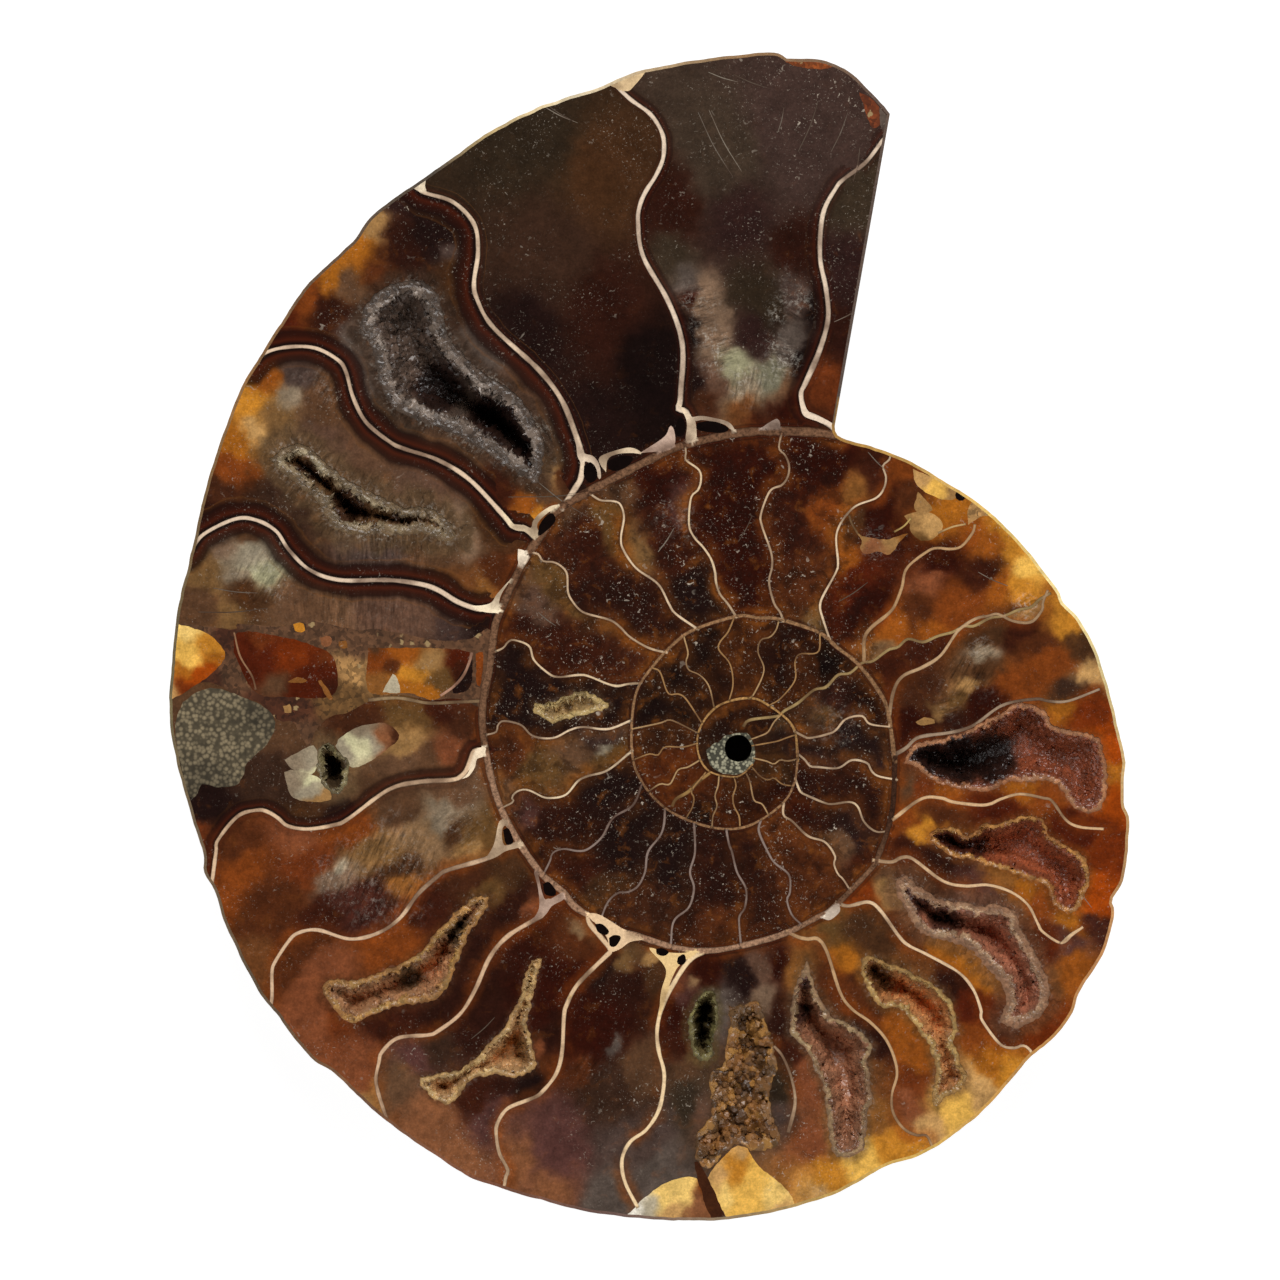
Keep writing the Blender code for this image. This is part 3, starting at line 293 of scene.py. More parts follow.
# Patches of colour in each chamber: x, y, colour and size
chamberTones = {
    "mouthSliver": (
        "12 56 mud 4, 11 48 plum 4, 10.5 42 umber 3, 9 37.5 russet 1.6"),
    "firstChamber": (
        "5 63 slate 6, -1 60 mudstone 5, -6.5 55 umber 3, 0 54.5 plum 3.5, 6 50 umber 2.5, "
        "-6.5 49.5 mud 2, -5.5 47.5 granite 1.6, -3.5 46 dust 1.8, -2 42 dust 1.6, 2 45 bog 3, "
        "1.5 42 plum 2.2, 5 46 ash 2, 5.2 41 granite 1.6, 0 38.8 lichen 1.8, 3 38 sage 1.6, "
        "1 36.3 oat 1.6, -2.5 37 taupe 1.5, 4.5 36.5 drab 1.2, -4.8 42 night 1.5, -5 46 oxblood 1, "
        "-4.4 37.3 soot 1.3, -3 35 cocoa 1.2, 1 34 ginger 1.3, 5 34.3 oxblood 1.2, 7.5 44 night 1.4, "
        "7 39 night 1.3, 2 33 chestnut 1"),
    "secondChamber": (
        "-20 62 bog 6, -15 58 moss 5, -18 50 peat 5, -14 45 umber 4, -20 43 soot 3, -8.5 38 night 3, "
        "-15 33.5 soot 2"),
    "thirdChamber": (
        "-36.3 53 straw 1.1, -38.5 50 honey 1.5, -41 48 honey 1.5, -43 45.6 copper 1.6, -46 42 brick 1.5, "
        "-35 55 plum 1.2, -30.5 52.5 soot 2, -33.5 50.5 umber 1.6, -36 47.2 bark 1.3, -28.6 44 peat 1.2, "
        "-39 46.4 drab 1.1, -41.5 44.5 umber 1.6, -38.5 41.5 granite 1.4, -29 50 ash .9, "
        "-28.3 47.5 moss 1.4, -27 40.5 granite 1.6, -21 35 taupe 1.5, -19 31.5 mudstone 1.3, "
        "-18.6 28.6 straw 1.2, -17.3 28 cocoa 1, -20 26.4 khaki 1.2, -21.3 24.6 amber 1, "
        "-20.6 23.7 gold .8, -37 37 granite 1.4, -35 33.5 mudstone 1.4, -28 30.5 drab 1.4, "
        "-23.6 26.2 chestnut 1"),
    "fourthChamber": (
        "-49 35 gold 1.8, -50 31.5 honey 1.7, -48.3 32.3 sand 1.2, -47.5 37.5 amber 1.3, "
        "-50.8 28.5 copper 1.6, -51.5 26 cocoa 1.8, -53 24 umber 1.6, -46 25 peat 1.8, -44.5 37.3 ash 1.2, "
        "-44.8 35.5 oat .9, -41.5 34.5 khaki 1.4, -46 33 tan 1.5, -42 31 taupe 1.4, -30 25.6 taupe 1.3, "
        "-29 23.8 dust 1.2, -27.5 22 dust 1.2, -25 22.5 moss 1.3, -23.5 17.8 bark 1.2, -25.5 16 ochre .9, "
        "-28 16.4 ginger 1.1, -36 20.3 ash 1.3, -31 20.3 khaki 1.3"),
    "fifthChamber": (
        "-53 17.5 tan 1.3, -54 15 khaki 1.3, -51.5 20.8 dust 1.2, -48.8 21.4 khaki 1, -48 19.7 haze 1.5, "
        "-47 17.5 lichen 1.4, -50 17.3 oat .9, -51 14.2 tan 1, -48.5 15.5 moss 1.3, -44 15 drab 1.5, "
        "-33 13.8 taupe 1.4, -28.5 12.8 slate 1.3, -26 12.7 soot 1.1"),
    "sixthChamber": (
        "-54 -5 soot 1.8, -47 -3 peat 1.8, -45.5 2.3 khaki 1.2, -54 -9 russet 1.4, -53.3 -11 copper 1, "
        "-44 -6.2 moss 1.2, -38 -4.6 khaki .9, -39.5 -5.8 soot .8, -33.5 -.8 drab 1.2, "
        "-33.5 1.2 straw 1.1, -30.5 -1 khaki 1.2, -28.5 -.3 terracotta 1.1, -27 3 cocoa 1.2, "
        "-33 3.8 olive 1.2, -38 3.4 cocoa 1.1, -30 4.2 chestnut 1.1"),
    "seventhChamber": (
        "-52 -15 copper 1.3, -50 -20 ginger 1.4, -50.5 -9 bark 1.1, -44 -9 terracotta 1.2, "
        "-39 -8 copper 1.2, -43 -11 russet 1.7, -47 -15 bark 2.2, -42 -16.5 chestnut 1.3, "
        "-38 -15.5 liver 1.8, -39.5 -11.6 haze .6, -40 -13 dust 1.3, -36 -10.5 tan 1.5, -34 -12 moss 1.1, "
        "-33 -13.5 ochre .9, -32 -8 fawn 1.6, -30 -7 oat 1.4, -33.5 -6 khaki 1.3, -29 -3.9 drab 1.1, "
        "-28.5 -8 moss 1, -25 -8.5 olive 1.2, -26 -9.8 straw .9, -24 -4 drab 1.2, -49.5 -13 copper 1.6"),
    "eighthChamber": (
        "-43.5 -28 terracotta 1.5, -38.5 -32 terracotta 1.5, -45 -21.5 bark 1.3, -42 -22 terracotta 1.2, "
        "-41.6 -18.6 bark .9, -34.5 -18.8 copper 1.2, -31 -15.8 chestnut 1.2, -26.5 -12.5 cocoa 1.1, "
        "-25 -13.3 olive 1, -22 -11 moss 1.2, -22.5 -15.5 umber 1.2, -21.3 -15.6 terracotta .8, "
        "-24.5 -20 bark 1, -26.5 -19.5 umber 1, -29 -26.3 umber 1.2, -35 -27.6 chestnut 1.2, "
        "-40 -27 russet 1.1"),
    "ninthChamber": (
        "-36.5 -34 straw 1, -31 -37 clay 1.6, -28 -40 clay 1.5, -33.5 -33 drab 1.4, -32 -30.5 rose 1.3, "
        "-30 -29.3 peat 1.2, -26.5 -27 umber 1.4, -18.5 -24 oxblood 1.5, -18 -28.5 umber 1.4, "
        "-19.6 -29.6 terracotta .5, -18.5 -31 bark .9, -21 -33.7 soot 1, -23.8 -33.9 umber .7, "
        "-26.5 -34.7 chestnut 1, -25 -37 rose 1.3, -15.6 -18.3 fawn .45, -16.6 -19.6 bark .9"),
    "tenthChamber": (
        "-13 -21 soot 1.1, -11.3 -20.8 tan 1, -11 -23 umber 1.4, -8.6 -20.3 straw .4, -8.6 -22.8 moss .9, "
        "-14 -28 oxblood 1.8, -12.3 -29.3 granite .5, -15.5 -31.5 bark 1, -9.5 -31.5 khaki 1.2, "
        "-13 -34.5 peat 1.8, -18 -40 rose 2, -12.5 -39 ash 1.6, -22.5 -42 clay 1.4, "
        "-12.8 -43.8 granite 1.4, -18.8 -43.2 clay 1.4"),
    "eleventhChamber": (
        "-3.8 -22.6 fawn .45, -5.5 -23.5 mauve 1.1, -3 -21.3 oxblood 1, -6.3 -25 oxblood 1.2, "
        "-5.7 -29.5 chestnut .9, -5.3 -32 khaki 1.1, -1.3 -25 granite 1.1, .5 -23 soot 1.3, "
        "1.7 -24.6 dust 1, 2.3 -22 taupe 1.1, 3.5 -21.5 oxblood 1, 4 -27 umber 1.2, -9 -39 ash 1.3, "
        "-3.8 -36 taupe 1, -5 -35 mud 1.3, -8.3 -41.3 granite 1.2, 4.3 -33.5 bog .9, 4.5 -36.5 ash 1"),
    "twelfthChamber": (
        "5.5 -22 ochre 1, 9 -24 bark 1, 14 -30 umber 1.1, 14.2 -33 ginger 1, 14 -36 ochre 1, "
        "4.8 -26 cocoa .8, 5.5 -29.5 chestnut .8, 7 -33 terracotta .9, 7.5 -39.5 terracotta 1.2, "
        "8.5 -44 sand 1, 9 -42.5 gold 1.3, 13 -41 buff 1.2, 15.5 -39.5 gold 1.2"),
    "thirteenthChamber": (
        "9.5 -17 olive 1, 11.5 -20.5 honey .9, 13.5 -18 moss 1.4, 17.5 -21 ginger 1, 21 -23 umber 1, "
        "23 -26 brick 1, 23.5 -29 copper 1.1, 25 -31 honey 1.1, 27 -31.8 gold 1.1, 24.5 -33.8 sand 1.2, "
        "22 -36 buff 1.2, 18.8 -37.6 sand .9, 17 -34.5 terracotta 1.1, 17.5 -33 russet 1.1, "
        "17.5 -31.5 amber 1, 16 -28 amber 1.1, 11.3 -23.7 bark .9, 14 -26.5 bark 1"),
    "fourteenthChamber": (
        "12.5 -13.8 brickred 1, 14 -12 khaki 1, 14.8 -13.8 straw 1, 16 -18 bark 1, 21 -20.5 honey .9, "
        "24 -22.8 honey .9, 25.3 -26 brick .9, 26.5 -28.2 chestnut .9, 30 -28.3 brickred 1.3, "
        "33.8 -21.5 amber 1.2, 33 -20 rose 1.1, 31 -19.3 brick .9, 18 -12 cocoa 1, 24 -14 mauve 1.2"),
    "fifteenthChamber": (
        "16.5 -7 copper .9, 18.2 -7.8 gold 1, 20 -5.8 bark 1, 26 -5.8 brick .9, 17 -9.5 chestnut 1, "
        "20 -11 umber 1.1, 26 -12.5 ochre .9, 28.5 -13.7 honey .9, 30.5 -15 copper .9, "
        "33.5 -17.5 honey .8, 36 -15 fire 1.2, 36 -9.5 brickred 1.1, 34 -8.5 brick 1, 35.8 -18 liver .9"),
    "sixteenthChamber": (
        "16.6 -3.5 khaki .9, 18 -3.8 russet .9, 21 -4.3 amber .6, 28.5 -3.8 honey .7, 31 -4.3 copper .8, "
        "33.5 -6.7 brick .8, 38 -5 fire 1.1, 37.8 -2 honey 1, 37.5 1 fire 1, 34.5 4 brickred 1.1, "
        "32.5 4.3 honey .9"),
    "seventeenthChamber": (
        "16.5 9 chestnut .9, 17.5 2.8 oxblood 1.1, 18 5.5 cocoa 1.2, 21 2.8 umber 1, 22.5 5 olive .7, "
        "23.4 6.8 straw .7, 20.4 4.3 tan .6, 24.6 9.7 oat .7, 25 12.5 moss 1, 24.5 8 moss 1, "
        "28 12 chestnut .9, 28.7 13.7 straw .9, 30 11 bark 1.1, 33 13 gold 1.1, 34.5 10.5 moss 1.2, "
        "31.5 9 copper 1.2, 28 7 copper 1.2, 33.5 6.3 peat 1, 35.8 7.8 sand 1, 24.5 4.8 oxblood 1"),
    "eighteenthChamber": (
        "14.5 10.5 fawn .6, 16 12.5 amber 1.1, 18.4 13.8 bark 1.1, 19.5 12.2 amber .8, 22 15 copper 1.3, "
        "18.8 17 terracotta .8, 20 19 oxblood 1, 24 18 chestnut 1.2, 26 16 amber 1.2, 27.5 20.5 gold 1, "
        "29.5 18.3 buff 1, 28.4 16.2 gold .8, 26.5 22 gold 1, 24.5 21 amber 1"),
    "nineteenthChamber": (
        "13 15 oxblood 1.1, 11.5 17.5 brick 1.2, 10.8 19 amber 1, 14 23 oxblood 1.5, 16.8 28.3 copper 1, "
        "20.5 24.5 honey 1.1, 17 25.5 bark 1.2"),
    "secondTurn": (
        "11.5 25.8 ochre 1, 13 27.5 chestnut 1, 8.8 24 copper 1.3, 12 23 moss 1, 8.3 13.5 tan .9, "
        "7 18 bark 1.6, 6 22 chestnut 1.8, 8 29 oxblood 2, 1 29 oxblood 2, -5.5 25 mauve 1, "
        "-8 28 oxblood 1.5, -12.5 22.8 olive 1.2, -7 20 chestnut 1.5, -11.4 26.3 khaki .9, "
        "-9.5 19.8 tan 1.1, -4.5 16 soot 1.2, -15.5 21.5 chestnut 1.5, -17.3 16 olive 1.3, "
        "-13 14.5 umber 1.5, -21 14.5 taupe 1.2, -17 24 khaki 1.2, -18 10.5 chestnut 1.5, "
        "-22.5 12.5 chestnut 1, -17 .2 drab 1, -13.8 0 haze .45, -14.5 1.6 slate .9, -22 0 bark 1.2, "
        "-20 -1 olive 1.1, -12.5 -.8 olive .9, -23.8 4 soot 1, -22 8 soot 1.2, -14 -4 soot 1.2, "
        "-18 -7 umber 1.6, -21.2 -6.4 mauve 1.1, -12 -9 soot 1.2, -16 -12 chestnut 1.4, "
        "-13.8 -13.8 moss 1, -10 -16 cocoa 1.4, -7 -11 soot 1.2, -2 -17.5 bark 1.1, -2 -13 umber 1.6, "
        "8.7 -6.6 umber .9, 6.4 -11.3 bark 1.2, 10.5 -9 drab 1, 12 -8.3 plum 1, 13 -10.5 chestnut 1, "
        "13 -4.5 umber 1, 13 5 umber 1, 9.5 5 liver 1.1"),
    "innerTurns": (
        "0 12.5 bark .8, 7 8 bark 1, 8.5 9 night .8, 9 4.5 tan .9, -9 5 soot .8, -7 -3 russet .9, "
        "4 8 umber 1, 6 -5.5 oxblood .9, -8 1 cocoa 1, 4 -1.5 moss .8, 7 1 plum .7"),
}

# Open chambers. "rim" is the outline in the face, "depth" the floor's depth towards the coil's axis and away
# from it, "slope" how far in the crystals fall to the floor, and "crystal" the size of a crystal.
# "colours" are those of the rim, the crest, the floor and the painted shade of the depths. "lining" is the
# stain around the opening (width, strength, colour) and "frost" its white frosting. "dark" places the painted
# shade in the depths, each with its radius. "crest" is where the bright crest of the fringe is and how wide,
# "stand" how long the crystals stand in it, and "lift" how much lighter each mm of depth is painted, as
# painted light that offsets the shade there.
hollows = {
    "druse_upper_left": {
        "rim": pairs(-37.8, 42, -36.7, 40.6, -35.8, 36.6, -34.9, 34.9, -33.2, 33.6, -26.7, 30.9,
            -20.8, 27.2, -19.8, 27.7, -19.4, 29.2, -19.4, 31, -21.2, 34.6, -22.4, 36, -26, 38.4,
            -27.6, 39.8, -28.9, 41.4, -30.1, 45.6, -31.3, 47, -33, 47.1, -35, 46.5, -36.7, 45.2,
            -37.6, 43.6),
        "depth": (9.5, 4.5), "slope": 2, "crystal": 0.5, "slot": "grey_druse",
        "colours": ("4d4036", "92857a", "4f4138", "2c1c16"), "lining": (1.8, 0.75, "3f2f24"), "frost": 0.5,
        "dark": ((-24.3, 33.3, 3.6), (-21.2, 30.2, 2.6), (-30, 36.4, 3.2)), "crest": (1, 0.5), "stand": 0.6,
        "lift": 0.15,
    },
    "druse_left": {
        "rim": pairs(-46.8, 29.4, -46, 28.3, -42.1, 25.2, -40.8, 22.8, -39.6, 22.1, -37.8, 21.8,
            -35.8, 21.9, -33.8, 21.6, -31.6, 21.9, -29.6, 21.2, -28.3, 21.4, -28.6, 22.6, -29.8, 23.8,
            -31.6, 24.5, -33.6, 24.6, -37, 26.1, -40.4, 28.1, -43.2, 30.6, -45.2, 30.4),
        "depth": (8, 5), "slope": 1.3, "crystal": 0.42, "slot": "grey_druse",
        "colours": ("64523c", "9c8e74", "62482f", "4a3222"), "lining": (2.6, 0.85, "5c4833"), "frost": 0.6,
        "dark": ((-39, 24.6, 2.6), (-43.4, 27.6, 1.8), (-33.5, 23.2, 1.6)), "crest": (0.75, 0.5),
        "stand": 0.55, "lift": 0.15,
    },
    "druse_calcite_pocket": {
        "rim": pairs(-41.9, 0.2, -42.1, -1.4, -41.7, -2.8, -40.9, -3.9, -40.1, -4.2, -39.4, -3.4,
            -38.9, -2.1, -38.9, -1.1, -40.2, 0.5, -41.1, 0.9),
        "depth": (6.5, 6.5), "slope": 1, "crystal": 0.6, "slot": "grey_druse",
        "colours": ("655a44", "7f7454", "5c4c36", "4c3c2a"), "lining": (1.6, 0.4, "7a6848"), "frost": 0.1,
        "dark": ((-40.5, -2.3, 2),), "crest": (0.2, 0.3), "stand": 0.4, "lift": 0.3,
    },
    "druse_lower_left": {
        "rim": pairs(-24.8, -14.5, -25.3, -15.9, -27.1, -18.5, -28.7, -22.8, -29.6, -24.2, -31, -25,
            -35, -25.7, -38.2, -27, -39.6, -26.5, -41.3, -24.2, -41.2, -23, -39.8, -22.6, -38, -22.8,
            -32.8, -20.6, -31.2, -19.5, -30.2, -18, -27.6, -15.4, -26.1, -14.5),
        "depth": (7.5, 4.6), "slope": 1.4, "crystal": 0.4, "slot": "tan_druse",
        "colours": ("866039", "a88650", "866448", "5c4630"), "lining": (0.8, 0.4, "4f301b"), "frost": 0.2,
        "dark": ((-27.3, -18.3, 2.2), (-33, -22.5, 1.6)), "crest": (0.35, 0.35), "stand": 0.5, "lift": 0.42,
    },
    "druse_lower_fork": {
        "rim": pairs(-19.5, -20.6, -21, -26.6, -20.2, -31.2, -21, -32.1, -22.6, -32.5, -24.4, -32.2,
            -26, -32.5, -27.1, -33.3, -28.6, -35.3, -30, -35, -32, -32.9, -30.6, -32.2, -28.8, -32,
            -27.2, -31.3, -23.9, -28, -22.2, -25.2, -21.1, -21.8, -20.5, -20.7),
        "depth": (7, 4.2), "slope": 1.3, "crystal": 0.34, "slot": "tan_druse",
        "colours": ("8e6e48", "b09466", "987854", "7a5a38"), "lining": (0.5, 0.4, "50331e"), "frost": 0.25,
        "dark": ((-21.4, -29.8, 1.5),), "crest": (0.3, 0.3), "stand": 0.5, "lift": 0.37,
    },
    "druse_slot": {
        "rim": pairs(-3.9, -24.6, -3.1, -24, -2.3, -24.4, -1.9, -26.8, -2.6, -29.2, -2.4, -30.4,
            -3.4, -30.9, -4.4, -30.2, -4.9, -28.8, -5, -27.4, -4.7, -26),
        "depth": (7.5, 7.5), "slope": 0.9, "crystal": 0.34, "slot": "tan_druse",
        "colours": ("5c5236", "787048", "685c3e", "564a30"), "lining": (0.9, 0.5, "544729"), "frost": 0.3,
        "dark": ((-3.5, -27.4, 3.2),), "crest": (0.25, 0.3), "stand": 0.3, "lift": 0.35,
    },
    "crumbly_fill": {
        "rim": pairs(-0.9, -25.4, 0.6, -25.2, 2.2, -25.4, 3.8, -31, 3.2, -35, 4.2, -38.6, 3.2, -39.7,
            1.4, -40, 0.2, -39.2, -0.9, -39.8, -3, -41.6, -4, -40.8, -4.2, -39, -3.6, -37.4, -2.6, -36,
            -2.9, -32.4, -1.5, -31, -0.9, -27.2),
        "depth": (4.2, 3.6), "slope": 1.6, "crystal": 0.7, "slot": "ochre_fill",
        "colours": ("5f4630", "7a5a38", "64462c", "3c2614"), "lining": (0.4, 0.3, "4a3420"), "frost": 0,
        "dark": ((0.5, -34, 1.3), (0.8, -28.4, 1), (1.5, -38, 1)), "crest": (0.3, 0.5), "stand": 1,
        "lift": 0.1,
    },
    "druse_bottom": {
        "rim": pairs(6.9, -20.8, 5.6, -23.8, 5.2, -27.4, 5.9, -28.7, 6.9, -29.8, 7.6, -31.2, 8.6, -34.4,
            9.2, -38.2, 9.8, -40.2, 11.2, -40.4, 12.6, -39.6, 12.9, -36.2, 13.4, -34.6, 13, -31,
            13.3, -29.4, 12.2, -28, 10.8, -27, 9.2, -26.3, 7.7, -23.6),
        "depth": (8, 4), "slope": 1.7, "crystal": 0.3, "slot": "brown_druse",
        "colours": ("7a5f48", "97805f", "7c5842", "50342a"), "lining": (0.8, 0.5, "5c4630"), "frost": 0.3,
        "dark": ((6.2, -26.2, 1.4), (6.9, -23, 1.1)), "crest": (0.3, 0.3), "stand": 0.3, "lift": 0.3,
    },
    "druse_bottom_right": {
        "rim": pairs(12.3, -20.9, 13.5, -20.5, 18.2, -22.5, 20.9, -24.3, 22, -27.4, 21.6, -29.2,
            22.8, -32.4, 22.3, -33.9, 21, -34.4, 19.9, -35.3, 19.3, -34.2, 19.6, -30.8, 16.8, -26.2,
            14, -25.3, 12.5, -22.4),
        "depth": (7, 4.2), "slope": 1.5, "crystal": 0.3, "slot": "brown_druse",
        "colours": ("8a6a40", "a88c5a", "946a44", "684426"), "lining": (0.8, 0.5, "6b4c2c"), "frost": 0.3,
        "dark": ((13.9, -22.8, 2),), "crest": (0.3, 0.3), "stand": 0.3, "lift": 0.42,
    },
    "druse_right_lower": {
        "rim": pairs(15.8, -12.5, 16.9, -12.3, 18, -13.3, 20.4, -14.7, 24, -15.2, 26, -15.2, 27.8, -15.9,
            28.3, -17.6, 30.9, -22.4, 31.2, -24.2, 30.6, -25.9, 29.3, -27, 27.6, -27.5, 26.2, -26.8,
            26.9, -25.2, 26.5, -23.6, 24.2, -20.8, 22.8, -19.6, 19.2, -18.5, 17.8, -17.5, 16, -14.4),
        "depth": (8, 4.2), "slope": 1.7, "crystal": 0.3, "slot": "brown_druse",
        "colours": ("806049", "a2866a", "7f5440", "4c2c20"), "lining": (1.8, 0.6, "664833"), "frost": 0.3,
        "dark": ((17.6, -14.8, 2.2), (20.8, -17, 2.2)), "crest": (0.7, 0.35), "stand": 0.3, "lift": 0.42,
    },
    "druse_right_middle": {
        "rim": pairs(19.3, -8.2, 20.2, -7.6, 21.6, -7.5, 22.8, -8.3, 23.8, -8, 24.6, -7.1, 26, -7.1,
            29, -6.4, 30.6, -7, 31.3, -8.4, 34.3, -10.2, 35.1, -12, 34.9, -13.8, 34.2, -15.4, 33, -16,
            31.8, -15.4, 31, -13.8, 29.8, -13, 26.4, -11.7, 24.6, -11.4, 23.2, -10.6, 21.6, -10.6,
            19.6, -9.2),
        "depth": (7, 4.2), "slope": 1.6, "crystal": 0.28, "slot": "brown_druse",
        "colours": ("82552e", "a87e48", "77422a", "4a2416"), "lining": (0.7, 0.5, "74461d"), "frost": 0.1,
        "dark": ((20.6, -9.2, 1.5), (23.3, -9.6, 2.2)), "crest": (0.25, 0.3), "stand": 0.25, "lift": 0.3,
    },
    "druse_right_upper": {
        "rim": pairs(16.6, -1.1, 18, -1.6, 19.4, -2.7, 21, -3.4, 24.6, -3.9, 27.4, -2.9, 31.4, -3.1,
            32.6, -4, 33.4, -5.5, 34.8, -6, 36.2, -5.7, 36.9, -4.3, 36.9, -2, 36.5, 0.2, 35.6, 1.7, 32, 2.6,
            30.9, 3.8, 29.4, 4.8, 27.6, 4.7, 22.6, 2, 18.4, 1.1, 17.2, 0.3),
        "depth": (8.5, 3.4), "slope": 2.2, "crystal": 0.28, "slot": "brown_druse",
        "colours": ("82563a", "9f7454", "733f28", "2a1812"), "lining": (0.5, 0.5, "7a4622"), "frost": 0.1,
        "dark": ((18.8, -0.6, 2.4), (22, -0.8, 3.4), (25.6, -0.6, 3.2)), "crest": (0.25, 0.3),
        "stand": 0.25, "lift": 0.12,
    },
    "druse_inner_whorl": {
        "rim": pairs(-20.3, 4.8, -19, 4.9, -15.4, 6.1, -13, 4.8, -13.6, 4.2, -16.2, 3.4, -17.4, 3.4,
            -18.6, 2.9, -19.7, 3.4, -20.4, 4.1),
        "depth": (3, 3), "slope": 0.8, "crystal": 0.36, "slot": "tan_druse",
        "colours": ("8a7248", "ac9668", "9c825a", "7a6040"), "lining": (0.7, 0.5, "5a4128"), "frost": 0.3,
        "dark": ((-17, 4.4, 0.6),), "crest": (0.2, 0.4), "stand": 0.6, "lift": 0,
    },
}
centreHole = {"centre": (0.0, 0.35), "radius": 1.35}

